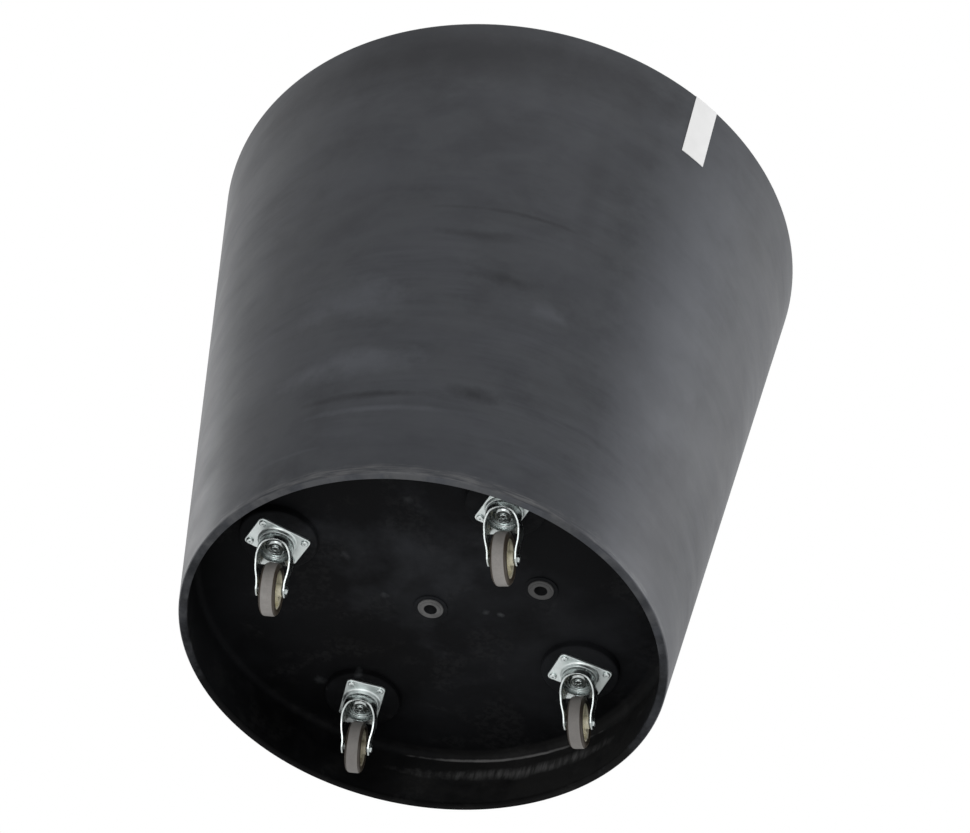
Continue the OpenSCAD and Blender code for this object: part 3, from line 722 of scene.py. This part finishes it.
# %% [markdown]
# ## Axle bolt, nut and sleeve
# The axle must not stand out, so its bolt has a thin flat head on one leg and a thin nut
# on the other. Between the legs a sleeve keeps the legs apart and lets the wheel turn
# freely. The nut is a six-sided prism whose corners are chamfered as when cut from bar.

# %% Axle hardware
LEG_HALF, AXLE_R, ACROSS_FLATS = 18, 3, 10
BOLT_HEAD_R, BOLT_HEAD_L, NUT_L, BOLT_END = 6, 1.2, 2.2, 0.4
SLEEVE_R, SLEEVE_HALF = 4.5, 15.6


def thin_nut():
    corner_r = ACROSS_FLATS / 2 / cos(pi / 6)
    nut = bmesh.new()
    bmesh.ops.create_cone(nut, cap_ends=True, segments=6, radius1=corner_r, radius2=corner_r,
                          depth=NUT_L, matrix=Matrix.Translation((0, 0, LEG_HALF + NUT_L / 2)))
    rim = [e for e in nut.edges if all(v.co.z > LEG_HALF + NUT_L - 0.01 for v in e.verts)]
    soften(nut, rim, 0.5, 3)
    return boolean(nut, rod(AXLE_R, LEG_HALF - 2, LEG_HALF + NUT_L + 2, 40), "DIFFERENCE")


foot, end = -LEG_HALF - BOLT_HEAD_L, LEG_HALF + NUT_L + BOLT_END
bolt = spun([(0, foot), (BOLT_HEAD_R, foot), (BOLT_HEAD_R, -LEG_HALF), (AXLE_R, -LEG_HALF),
             (AXLE_R, end), (0, end)], 48)
round_ring(bolt, BOLT_HEAD_R, foot, 0.7, 4)
round_ring(bolt, AXLE_R, end, 0.3, 3)
sleeve = spun([(AXLE_R + 0.2, -SLEEVE_HALF), (SLEEVE_R, -SLEEVE_HALF),
               (SLEEVE_R, SLEEVE_HALF), (AXLE_R + 0.2, SLEEVE_HALF)], 48, closed=True)
on_casters([("bolt_{}", bolt, "screw_steel", "axle_bolt_{}"),
            ("nut_{}", thin_nut(), "screw_steel", "axle_nut_{}"),
            ("sleeve_{}", sleeve, "screw_steel", "axle_sleeve_{}")], wheel_place, "swivel_{}")

# %% [markdown]
# ## The wheel
# The hub is a cream plastic moulding: a rim, a thin web, a long boss for the sleeve and
# ribs on both sides. The grey tread is moulded over it and stands a little wider, with
# round shoulders. Both are spun about the axle, and the ribs are joined to the hub.

# %% Hubs and treads
HUB_R, HUB_HALF, HUB_RIM_T, WEB_HALF, BOSS_HALF, HUB_BOSS_R = 23.7, 8.5, 3, 2, 13.5, 8
RIBS, RIB_T, RIM_SLANT, BOSS_SLANT = 6, 2, 0.6, 0.8
WHEEL_R, TREAD_HALF, TREAD_ROUND = 32.5, 10.25, 6
PALE_BAND_HALF = 6.6                     # half the width of the band that meets the ground


def hub_mesh():
    r = HUB_R - HUB_RIM_T
    bore, web_out, web_in = SLEEVE_R + 0.1, r - RIM_SLANT, HUB_BOSS_R + BOSS_SLANT
    hub = spun([(HUB_R, -HUB_HALF), (HUB_R, HUB_HALF), (r, HUB_HALF), (web_out, WEB_HALF),
                (web_in, WEB_HALF), (HUB_BOSS_R, BOSS_HALF), (bore, BOSS_HALF),
                (bore, -BOSS_HALF), (HUB_BOSS_R, -BOSS_HALF), (web_in, -WEB_HALF),
                (web_out, -WEB_HALF), (r, -HUB_HALF)], 72, closed=True)
    for side in (-1, 1):
        round_ring(hub, r, side * HUB_HALF, 0.9, 4)
        round_ring(hub, HUB_R, side * HUB_HALF, 0.5, 3)
        round_ring(hub, HUB_BOSS_R, side * BOSS_HALF, 0.6, 3)
        round_ring(hub, web_out, side * WEB_HALF, 1.5, 4)
        round_ring(hub, web_in, side * WEB_HALF, 1.2, 4)
    ribs = []
    for k in range(RIBS):
        rib_l = r - HUB_BOSS_R + 2
        rib = block((rib_l, RIB_T, 2 * HUB_HALF - 3), (HUB_BOSS_R - 1.5 + rib_l / 2, 0, 0))
        soften(rib, rib.edges[:], 0.4, 2)
        ribs.append(moved(rib, Matrix.Rotation(2 * pi * k / RIBS, 4, "Z")))
    return boolean(hub, gather(ribs), "UNION")


tread = spun([(HUB_R, -HUB_HALF), (WHEEL_R - TREAD_ROUND, -TREAD_HALF),
              (WHEEL_R, -TREAD_HALF), (WHEEL_R, TREAD_HALF),
              (WHEEL_R - TREAD_ROUND, TREAD_HALF), (HUB_R, HUB_HALF)], 128, closed=True)
for side in (-1, 1):
    round_ring(tread, WHEEL_R, side * TREAD_HALF, TREAD_ROUND - 0.05, 10)
# Faces outside the band take the second material, which paints the shoulders in shade.
for face in tread.faces:
    face.material_index = int(abs(face.calc_center_median().z) > PALE_BAND_HALF)
on_casters([("hub_{}", hub_mesh(), "hub_plastic", "wheel_hub_{}"),
            ("tread_{}", tread, "tread_rubber", "wheel_tread_{}")], wheel_place, "wheel_{}")

# %% [markdown]
# ## Effects that several finishes share
# Real surfaces are never one flat colour. Six effects are built once as node groups: soft
# blotches, streaks that run round the axis, fine grain for the bump, thin scratches, and
# two ragged marks that are put at a chosen place, one on a wall and one on a floor. Each
# finish sets its own sizes and strengths.

# %% Node groups
def new_group(name, inputs, outputs):
    group = bpy.data.node_groups.new(name, "ShaderNodeTree")
    for label, value in inputs.items():
        kind = "NodeSocketVector" if value is None else "NodeSocketFloat"
        socket = group.interface.new_socket(label, in_out="INPUT", socket_type=kind)
        if value is not None:
            socket.default_value = value
    for label in outputs:
        group.interface.new_socket(label, in_out="OUTPUT", socket_type="NodeSocketFloat")
    start = wire(group, "NodeGroupInput")
    return group, start.outputs


def end_group(group, results):
    wire(group, "NodeGroupOutput", results)
    print("group", group.name, "gives", list(results))
    return group


def spread(tree, value, low, high, to_low=0.0, to_high=1.0):
    """Stretches a range of values to another, and clips what is outside."""
    made = wire(tree, "ShaderNodeMapRange",
                {0: value, 1: low, 2: high, 3: to_low, 4: to_high}, clamp=True)
    return made.outputs[0]


def times(tree, a, b):
    return calc(tree, "MULTIPLY", a, b)


def plus(tree, a, b):
    return calc(tree, "ADD", a, b)


def harden(tree, noise, contrast):
    """Stretches a noise about its middle. A small number gives hard edges."""
    return spread(tree, noise, calc(tree, "SUBTRACT", 0.5, contrast), plus(tree, contrast, 0.5))


group, given = new_group("Blotches", {"Vector": None, "Scale": 5.0, "Contrast": 0.2}, ["Mask"])
noise = wire(group, "ShaderNodeTexNoise",
             {"Vector": given["Vector"], "Scale": given["Scale"], "Detail": 6.0,
              "Roughness": 0.55, "Distortion": 0.4})
blotches = end_group(group, {"Mask": harden(group, noise.outputs[0], given["Contrast"])})

# %% Streaks that run round the axis
def split_place(tree, where):
    """A place as its offset across the pot's axis and its height along it."""
    parts = wire(tree, "ShaderNodeSeparateXYZ", {0: where}).outputs
    return wire(tree, "ShaderNodeCombineXYZ", {0: parts[0], 1: parts[1]}).outputs[0], parts[2]


def length(tree, vector):
    return wire(tree, "ShaderNodeVectorMath", {0: vector}, operation="LENGTH").outputs["Value"]


group, given = new_group("Streaks round", {"Vector": None, "Around": 1.5, "Up": 14.0,
                                           "Contrast": 0.2}, ["Mask"])
flat, height = split_place(group, given["Vector"])
rim = wire(group, "ShaderNodeVectorMath", {0: flat}, operation="NORMALIZE")
wide = wire(group, "ShaderNodeVectorMath", {0: rim.outputs[0], "Scale": given["Around"]},
            operation="SCALE")
tall = wire(group, "ShaderNodeCombineXYZ", {2: times(group, height, given["Up"])})
place = wire(group, "ShaderNodeVectorMath", {0: wide.outputs[0], 1: tall.outputs[0]},
            operation="ADD")
noise = wire(group, "ShaderNodeTexNoise", {"Vector": place.outputs[0], "Scale": 1.0,
                                           "Detail": 5.0, "Roughness": 0.6,
                                           "Distortion": 0.25})
streaks = end_group(group, {"Mask": harden(group, noise.outputs[0], given["Contrast"])})

# %% Grain and scratches
group, given = new_group("Grain", {"Vector": None, "Scale": 800.0, "Pits": 0.3}, ["Height"])
fine = wire(group, "ShaderNodeTexNoise", {"Vector": given["Vector"], "Scale": given["Scale"],
                                          "Detail": 3.0, "Roughness": 0.6})
cells = wire(group, "ShaderNodeTexVoronoi", {"Vector": given["Vector"],
                                             "Scale": times(group, given["Scale"], 0.5)})
pits = times(group, spread(group, cells.outputs["Distance"], 0.0, 0.35), given["Pits"])
grain = end_group(group, {"Height": plus(group, fine.outputs[0], pits)})

group, given = new_group("Scratches", {"Vector": None, "Density": 60.0, "Amount": 0.5}, ["Mask"])
total = None
for turn in (0.3, 1.35, 2.4):
    lay = wire(group, "ShaderNodeMapping", {"Vector": given["Vector"],
                                            "Rotation": (turn * 0.6, turn * 0.4, turn),
                                            "Scale": (1.0, 0.06, 1.0)})
    noise = wire(group, "ShaderNodeTexNoise", {"Vector": lay.outputs[0],
                                               "Scale": given["Density"], "Detail": 2.0})
    line = spread(group, noise.outputs[0], 0.63, 0.70)
    total = line if total is None else calc(group, "MAXIMUM", total, line)
scratches = end_group(group, {"Mask": times(group, total, given["Amount"])})

# %% Marks at a chosen place
def offset_share(tree, value, middle, size):
    """How far a value lies from the middle of a mark, in half sizes of it."""
    return calc(tree, "DIVIDE", calc(tree, "SUBTRACT", value, middle), size)


def ragged_distance(tree, where, shares, noise, amount):
    """The distance from a mark's middle, with its outline frayed by noise."""
    noise = wire(tree, "ShaderNodeTexNoise", {"Vector": where, **noise}).outputs
    frayed = [plus(tree, share, times(tree, spread(tree, wave, 0.3, 0.7, -1.0, 1.0), amount))
              for share, wave in zip(shares, noise)]
    return length(tree, wire(tree, "ShaderNodeCombineXYZ", dict(enumerate(frayed))).outputs[0])


group, given = new_group("Mark", {"Vector": None, "Bearing": 0.0, "Height": 0.0, "Wide": 0.1,
                                  "Tall": 0.01, "Ragged": 0.5}, ["Mask"])
parts = wire(group, "ShaderNodeSeparateXYZ", {0: given["Vector"]}).outputs
turn = calc(group, "ARCTAN2", parts[1], parts[0])
shares = (offset_share(group, turn, given["Bearing"], given["Wide"]),
          offset_share(group, parts[2], given["Height"], given["Tall"]))
away = ragged_distance(group, given["Vector"], shares,
                       {"Scale": 22.0, "Detail": 5.0, "Roughness": 0.65}, given["Ragged"])
wall_mark = end_group(group, {"Mask": spread(group, away, 1.1, 0.2)})

group, given = new_group("Spot", {"Vector": None, "X": 0.0, "Y": 0.0, "Size": 0.01,
                                  "Rough": 70.0}, ["Mask"])
parts = wire(group, "ShaderNodeSeparateXYZ", {0: given["Vector"]}).outputs
shares = [offset_share(group, parts[k], given[k + 1], given["Size"]) for k in (0, 1)]
away = ragged_distance(group, given["Vector"], shares,
                       {"Scale": given["Rough"], "Detail": 4.0, "Roughness": 0.6}, 0.7)
floor_spot = end_group(group, {"Mask": spread(group, away, 1.2, 0.2)})

# %% [markdown]
# ## Building a finish
# Each finish is a material of its own with one Principled shader. What is the same all
# over, such as the shine of a clear surface, is set on the shader's socket. What changes
# from place to place comes from the groups and feeds colour, roughness and bump.

# %% Helpers for finishes
def effect(tree, group, **inputs):
    return wire(tree, "ShaderNodeGroup", inputs, node_tree=group).outputs[0]


def blotch(tree, where, scale, contrast):
    return effect(tree, blotches, Vector=where, Scale=scale, Contrast=contrast)


def spot(tree, where, x, y, size, rough=70.0):
    """A ragged spot on the floor, placed and sized in millimetres."""
    return effect(tree, floor_spot, Vector=where, X=x * MM, Y=y * MM, Size=size * MM,
                  Rough=rough)


def mark(tree, where, bearing, height, wide, tall, ragged=0.5):
    """A ragged mark on a wall. Bearing and half width are degrees, the rest millimetres."""
    return effect(tree, wall_mark, Vector=where, Bearing=radians(bearing),
                  Height=height * MM, Wide=radians(wide), Tall=tall * MM, Ragged=ragged)


def tint(tree, factor, first, second):
    """A colour between two, or between a colour socket and a colour."""
    first, second = [(*c, 1) if isinstance(c, tuple) else c for c in (first, second)]
    return wire(tree, "ShaderNodeMix", {0: factor, 6: first, 7: second},
                data_type="RGBA").outputs[2]


def dab(tree, tone, mask, strength, colour):
    """Lays a colour over a tone where a mask is high."""
    return tint(tree, times(tree, mask, strength), tone, colour)


def grey(level, warm=0.0):
    """A near-neutral colour written as the level it has on screen, from 0 to 255."""
    linear = ((level / 255 + 0.055) / 1.055) ** 2.4 if level > 10 else level / 255 / 12.92
    return (linear * (1 + warm), linear, linear * (1 - warm))


def finish(name, **constants):
    """A material with an empty Principled shader: (material, tree, shader, coordinates)."""
    material = bpy.data.materials.new(name)
    material.use_nodes = True
    tree = material.node_tree
    shader = tree.nodes["Principled BSDF"]
    for key, value in constants.items():
        shader.inputs[key.replace("_", " ")].default_value = value
    where = wire(tree, "ShaderNodeTexCoord").outputs["Object"]
    print("finish", name)
    return material, tree, shader, where


def bump(tree, shader, height, strength, distance):
    made = wire(tree, "ShaderNodeBump", {"Height": height, "Strength": strength,
                                         "Distance": distance})
    tree.links.new(made.outputs[0], shader.inputs["Normal"])


def grainy(tree, shader, where, scale, pits, strength, distance):
    """A bump of fine grain alone."""
    height = effect(tree, grain, Vector=where, Scale=scale, Pits=pits)
    bump(tree, shader, height, strength, distance)


def feed(tree, shader, **links):
    for key, socket in links.items():
        tree.links.new(socket, shader.inputs[key.replace("_", " ")])


# %% [markdown]
# ### Charcoal plastic of the wall
# The wall is dark plastic, a little blue, with a satin sheen. The mould and handling leave
# bands and arcs that run round it, pale rubbed areas a hand wide and a few dark smudges.
# A broad band of painted sheen and a few broad areas of painted shade are laid into its
# colour as well, and the front of the bottom rim is painted paler.
# The bands come from noise stretched round the axis. The larger marks are placed one by one,
# each by its bearing, height and half sizes, as a dresser would dab them on.

# %% Wall plastic
def slate(level):
    """A grey with a little blue in it."""
    return tuple(a * b for a, b in zip(grey(level), (0.94, 1.0, 1.13)))


wall_plastic, tree, shader, where = finish("charcoal_wall", Specular_IOR_Level=0.29,
                                           Specular_Tint=(0.86, 0.89, 1.0, 1.0))
on_walls = spread(tree, length(tree, split_place(tree, where)[0]), 0.27, 0.295)


def round_wall(around, up, contrast):
    """Streaks that run round the walls and leave the floor inside plain."""
    return times(tree, on_walls, effect(tree, streaks, Vector=where, Around=around, Up=up,
                                        Contrast=contrast))


band = round_wall(1.3, 9.0, 0.17)
streak = round_wall(2.6, 34.0, 0.2)
patch = blotch(tree, where, 9.0, 0.17)
speck = blotch(tree, where, 120.0, 0.2)
tone = tint(tree, band, slate(31), slate(52))
tone = dab(tree, tone, streak, 0.7, slate(30))
line = times(tree, round_wall(3.6, 110.0, 0.16), blotch(tree, where, 5.0, 0.1))
tone = dab(tree, tone, line, 0.5, slate(66))
tone = dab(tree, tone, round_wall(5.0, 22.0, 0.09), 0.45, grey(60, -0.06))
tone = dab(tree, tone, patch, 0.4, slate(56))
tone = dab(tree, tone, speck, 0.1, slate(62))
# (bearing, height in mm, half width in degrees, half height in mm, tone, strength)
WALL_MARKS = [(-61, 322, 7, 12, 16, 0.8), (-68, 386, 9, 10, 20, 0.7), (-62, 430, 15, 4, 20, 0.7),
              (-86, 130, 17, 6, 16, 0.8), (-83, 109, 17, 5, 74, 0.6), (-62, 140, 6, 14, 14, 0.8),
              (-92, 285, 14, 36, 74, 0.65), (-52, 290, 6, 15, 72, 0.6),
              (-96, 500, 16, 50, 62, 0.4), (-66, 560, 13, 30, 26, 0.35),
              (-100, 410, 10, 24, 28, 0.35), (-90, 182, 16, 24, 78, 0.65),
              (-104, 60, 12, 3, 62, 0.4), (-48, 520, 3, 130, 26, 0.35),
              (40, 420, 14, 6, 26, 0.5), (120, 250, 18, 30, 62, 0.4), (175, 560, 12, 12, 24, 0.5)]
# the same for the broad soft ones: a band of painted sheen on the right, and painted shade low on
# the right, low on the left and near the top at the front
PAINTED_SHEEN_AND_SHADE = [(-24, 430, 15, 400, 80, 0.5), (-9, 110, 13, 150, 18, 0.6),
               (-126, 130, 18, 110, 24, 0.5), (-78, 705, 48, 62, 8, 0.85)]
BROAD = 60                          # marks with a larger half height have a smooth outline
for bearing, height, wide, tall, level, strength in WALL_MARKS + PAINTED_SHEEN_AND_SHADE:
    mask = mark(tree, where, bearing, height, wide, tall, 0.5 if tall < BROAD else 0.2)
    tone = dab(tree, tone, times(tree, mask, on_walls), strength, slate(level))


def rim_wear(tree, where, tone):
    """Pale streaks on the front half of the bottom rim: wear, and a painted highlight there."""
    near = mark(tree, where, -75, 14, 90, 12)
    worn_and_lit = times(tree, near, effect(tree, streaks, Vector=where, Around=9.0, Up=420.0,
                                    Contrast=0.12))
    return dab(tree, tone, worn_and_lit, 0.6, grey(104))


# The front of the bottom rim gets pale wear streaks with a painted highlight.
tone = rim_wear(tree, where, tone)
feed(tree, shader, Base_Color=tone,
     Roughness=spread(tree, plus(tree, band, streak), 0.0, 2.0, 0.54, 0.40))
grit = times(tree, effect(tree, grain, Vector=where, Scale=900.0, Pits=0.2), 0.6)
bump(tree, shader, plus(tree, grit, times(tree, streak, 0.5)), 0.14, 0.0004)

# %% [markdown]
# ### The same plastic inside the recess, in painted shade
# The recess is part of the same moulding, but its plastic is a copy painted much darker and
# duller, as painted shade. It has caught dust, scuffs and rub marks while the casters
# were screwed on, and painted light and shade are laid on too: a pale middle, a lit far
# wall and right side, a dark left side, a dark back and a pale front half of the rim, and
# a pale line of painted highlight along the fillet. It is a material of its own, as a
# dresser too would paint the inside by itself. Every mark is a colour laid over the last
# one, from the broadest to the smallest.

# %% Recess plastic
# A copy of the wall's plastic, painted darker as shade and with little shine.
shaded_recess_plastic, tree, shader, where = finish("black_recess", Specular_IOR_Level=0.05)
reach = length(tree, split_place(tree, where)[0])
patch = blotch(tree, where, 9.0, 0.18)
tone = tint(tree, patch, slate(10), slate(20))
# A pale patch in the middle of the floor: some dust, and painted light where light reaches the
# middle.
dust_and_light_patch = times(tree, spot(tree, where, 14, -60, 110, 11.0), spread(tree, patch, 0, 1, 0.45, 1))
# Painted light: the far inner wall of the recess, which faces the front, is painted paler.
side = times(tree, spread(tree, reach, 0.282, 0.287), mark(tree, where, 65, 50, 85, 200))
# Painted shade on the back half of the bottom rim, and a painted highlight on its front half.
rim_back_shade = mark(tree, where, 115, 11.8, 115, 6, 0.1)
rim_front_highlight = mark(tree, where, -66, 11.8, 106, 6, 0.3)
tone = dab(tree, tone, dust_and_light_patch, 0.75, slate(52))
tone = dab(tree, tone, side, 0.8, grey(38))
# Painted light on the right part of the floor and the boss there.
tone = dab(tree, tone, spot(tree, where, 150, 100, 120, 11.0), 0.7, slate(34))
# Painted shade: the left part of the floor, which the rim shadows, is painted almost black.
tone = dab(tree, tone, spot(tree, where, -170, 150, 150, 11.0), 0.85, slate(5))
tone = dab(tree, tone, rim_back_shade, 0.9, slate(2))
tone = rim_wear(tree, where, dab(tree, tone, rim_front_highlight, 0.85, slate(88)))
scuff = times(tree, blotch(tree, where, 130.0, 0.07),
              spread(tree, blotch(tree, where, 14.0, 0.1), 0.55, 1.0))
tone = dab(tree, tone, scuff, 0.06, grey(80))
# (x, y, half size in mm, strength)
SCUFFS = [(63, 23, 5, 0.25), (79, 32, 4, 0.35), (-77, -101, 6, 0.16), (-51, -29, 5, 0.18),
          (-195, 114, 8, 0.15), (-135, 102, 5, 0.2), (110, 205, 10, 0.2), (30, -175, 6, 0.14)]
for x, y, size, strength in SCUFFS:
    tone = dab(tree, tone, spot(tree, where, x, y, size), strength, grey(96, -0.05))
stroke = effect(tree, streaks, Vector=where, Around=55.0, Up=30.0, Contrast=0.2)
rubbed = times(tree, mark(tree, where, 83, 66, 30, 11), stroke)
tone = dab(tree, tone, rubbed, 0.75, grey(110))
# A pale line along the fillet between the floor and the inner wall: a painted highlight with some
# dust.
fillet_highlight_and_dust = times(tree, mark(tree, where, 90, 93.5, 27, 2.2), spread(tree, reach, 0.284, 0.287))
tone = dab(tree, tone, fillet_highlight_and_dust, 0.8, grey(120))
feed(tree, shader, Base_Color=tone, Roughness=spread(tree, patch, 0, 1, 0.6, 0.75))
grainy(tree, shader, where, 500.0, 0.4, 0.3, 0.0004)

# %% [markdown]
# ### Grommet rubber and white card
# Soft rubber is matt and has no clear reflection, and coated card is pale with a faint
# shine. Both change so little from place to place that blotches in colour and roughness
# and a fine grain are enough. One spot makes the grommet on the axis a little paler.

# %% Grommet rubber
grommet_rubber, tree, shader, where = finish("grey_grommet_rubber", Specular_IOR_Level=0.25)
patch = blotch(tree, where, 70.0, 0.2)
tone = tint(tree, patch, grey(68), grey(80))
tone = dab(tree, tone, spot(tree, where, 0, 0, 50), 0.8, grey(104))
feed(tree, shader, Base_Color=tone, Roughness=spread(tree, patch, 0, 1, 0.55, 0.7))
grainy(tree, shader, where, 1500.0, 0.2, 0.2, 0.0002)

# %% White card
white_card, tree, shader, where = finish("coated_card", Specular_IOR_Level=0.3)
patch = blotch(tree, where, 40.0, 0.3)
tone = tint(tree, patch, grey(219), grey(227))
feed(tree, shader, Base_Color=tone, Roughness=spread(tree, patch, 0, 1, 0.45, 0.6))
grainy(tree, shader, where, 2500.0, 0.1, 0.1, 0.0001)

# %% [markdown]
# ### Zinc and steel
# The plates and forks are pressed from plated sheet, and the screws, rivets and sleeves
# are turned from bar. All are full metals, and what tells them apart is their tone and
# how sharply they mirror, so one function makes all six. Blotches stand for the plating,
# and thin scratches in colour, roughness and bump for the handling.

# %% Zinc and steel
def cool(level):
    """The faint green of passivated zinc."""
    return tuple(a * b for a, b in zip(grey(level), (0.93, 1.0, 0.99)))


def metal(name, dark, light, rough, scratch):
    made, tree, shader, where = finish(name, Metallic=1.0)
    patch = blotch(tree, where, 60.0, 0.2)
    lines = effect(tree, scratches, Vector=where, Density=420.0, Amount=scratch)
    tone = tint(tree, patch, cool(dark), cool(light))
    tone = tint(tree, lines, tone, cool(light + 20))
    feed(tree, shader, Base_Color=tone,
         Roughness=plus(tree, spread(tree, patch, 0, 1, *rough), times(tree, lines, 0.1)))
    fine = effect(tree, grain, Vector=where, Scale=1800.0, Pits=0.2)
    bump(tree, shader, plus(tree, times(tree, fine, 0.5), lines), 0.15, 0.0001)
    return made


zinc = metal("bright_zinc", 202, 222, (0.34, 0.46), 0.35)
pressed_steel = metal("pressed_fork_zinc", 178, 202, (0.22, 0.32), 0.3)
turned_steel = metal("turned_steel", 190, 214, (0.22, 0.34), 0.2)
oiled_steel = metal("oiled_steel", 168, 192, (0.16, 0.24), 0.2)
dull_steel = metal("dull_steel", 110, 130, (0.35, 0.45), 0.2)
ball_steel = metal("ball_steel", 205, 225, (0.06, 0.12), 0.05)

# %% [markdown]
# ### Tread and hub
# The tread is grey rubber. The band that meets the ground keeps the rubber's pale grey,
# and the shoulders are painted dark as shade, so one tread takes two materials. The hub is
# a cream plastic with a soft shine. Treads are painted darker towards the back, and the
# hub of the back left caster is painted dark, both as painted shade on the far casters.

# %% Tread and hub
def rubber(name, dark, light, rough):
    made, tree, shader, where = finish(name, Specular_IOR_Level=0.3)
    patch = blotch(tree, where, 60.0, 0.22)
    speck = blotch(tree, where, 600.0, 0.12)
    tone = tint(tree, patch, dark, light)
    tone = dab(tree, tone, speck, 0.15, tuple(0.5 * c for c in dark))
    # Painted shade: the rubber is painted darker towards the back (+Y), where the far casters get
    # less light.
    place = wire(tree, "ShaderNodeSeparateXYZ", {0: where})
    far_shade = spread(tree, place.outputs[1], 0.0, 0.12, 0.0, 0.45)
    tone = tint(tree, far_shade, tone, tuple(0.45 * c for c in dark))
    feed(tree, shader, Base_Color=tone, Roughness=spread(tree, patch, 0, 1, *rough))
    grainy(tree, shader, where, 1600.0, 0.3, 0.2, 0.0002)
    return made


tread_face_rubber = rubber("worn_tread_rubber", grey(138, 0.05), grey(158, 0.05), (0.5, 0.65))
# The shoulders' rubber is the same grey painted dark, as shade.
shoulder_shade_rubber = rubber("fresh_tread_rubber", grey(52, 0.25), grey(66, 0.25), (0.35, 0.5))

hub_cream, tree, shader, where = finish("cream_hub_plastic", Specular_IOR_Level=0.5)
patch = blotch(tree, where, 90.0, 0.25)
tone = tint(tree, patch, (0.74, 0.70, 0.52), (0.84, 0.80, 0.64))
# Painted shade: the hub of the back left caster is painted dark.
tone = dab(tree, tone, spot(tree, where, -155, 178, 90), 0.75, (0.26, 0.23, 0.16))
feed(tree, shader, Base_Color=tone, Roughness=spread(tree, patch, 0, 1, 0.3, 0.42))
grainy(tree, shader, where, 1200.0, 0.1, 0.1, 0.0001)

# %% [markdown]
# ## Putting the finishes on
# Every piece has a slot, and every slot has one finish, so a planter in other colours
# needs only another table. A few small pieces have a finish of their own. The pot, the
# grommets and the treads take two, and which face takes which is told by where it lies.
# Their second finish is painted shade: the pot's recess, the grommets' bores and the
# treads' shoulders.

# %% Put each finish on its pieces
FINISHES = {"shell_plastic": wall_plastic, "drain_rubber": grommet_rubber,
            "label_card": white_card, "zinc_plate": zinc, "fork_steel": pressed_steel,
            "screw_steel": turned_steel, "ball_steel": ball_steel,
            "tread_rubber": tread_face_rubber, "hub_plastic": hub_cream}
OWN_FINISH = {"lower": oiled_steel, "rivet": oiled_steel, "sleeve": dull_steel}
EDGE = 0.6                          # how far a finish reaches round an edge


def in_recess(x, y, z):
    """Whether a point of the pot lies on its bottom rim or faces the room of the casters."""
    r = hypot(x, y)
    return (r < wall_outside(z) - WALL + 1.5 and z < under_floor(r) + 4) or z < RIM_GAP + EDGE


for slot, pieces in dressed.items():
    for piece in pieces:
        piece.data.materials.append(OWN_FINISH.get(piece.name.split("_")[0], FINISHES[slot]))
        if slot == "tread_rubber":
            piece.data.materials.append(shoulder_shade_rubber)
        # The faces in each grommet's bore take the recess plastic: a dark sheet of painted shade
        # in the hole.
        if slot == "drain_rubber":
            piece.data.materials.append(shaded_recess_plastic)
            middle = DRAINS[int(piece.name[-1]) - 1]
            for face in piece.data.polygons:
                x, y, _ = face.center / MM
                face.material_index = int(hypot(x - middle, y) < BORE_R + EDGE)
# The pot's faces in the recess take the copy painted in shade.
pot.data.materials.append(shaded_recess_plastic)
for face in pot.data.polygons:
    face.material_index = int(in_recess(*face.center / MM))
print("recess faces", sum(f.material_index for f in pot.data.polygons))
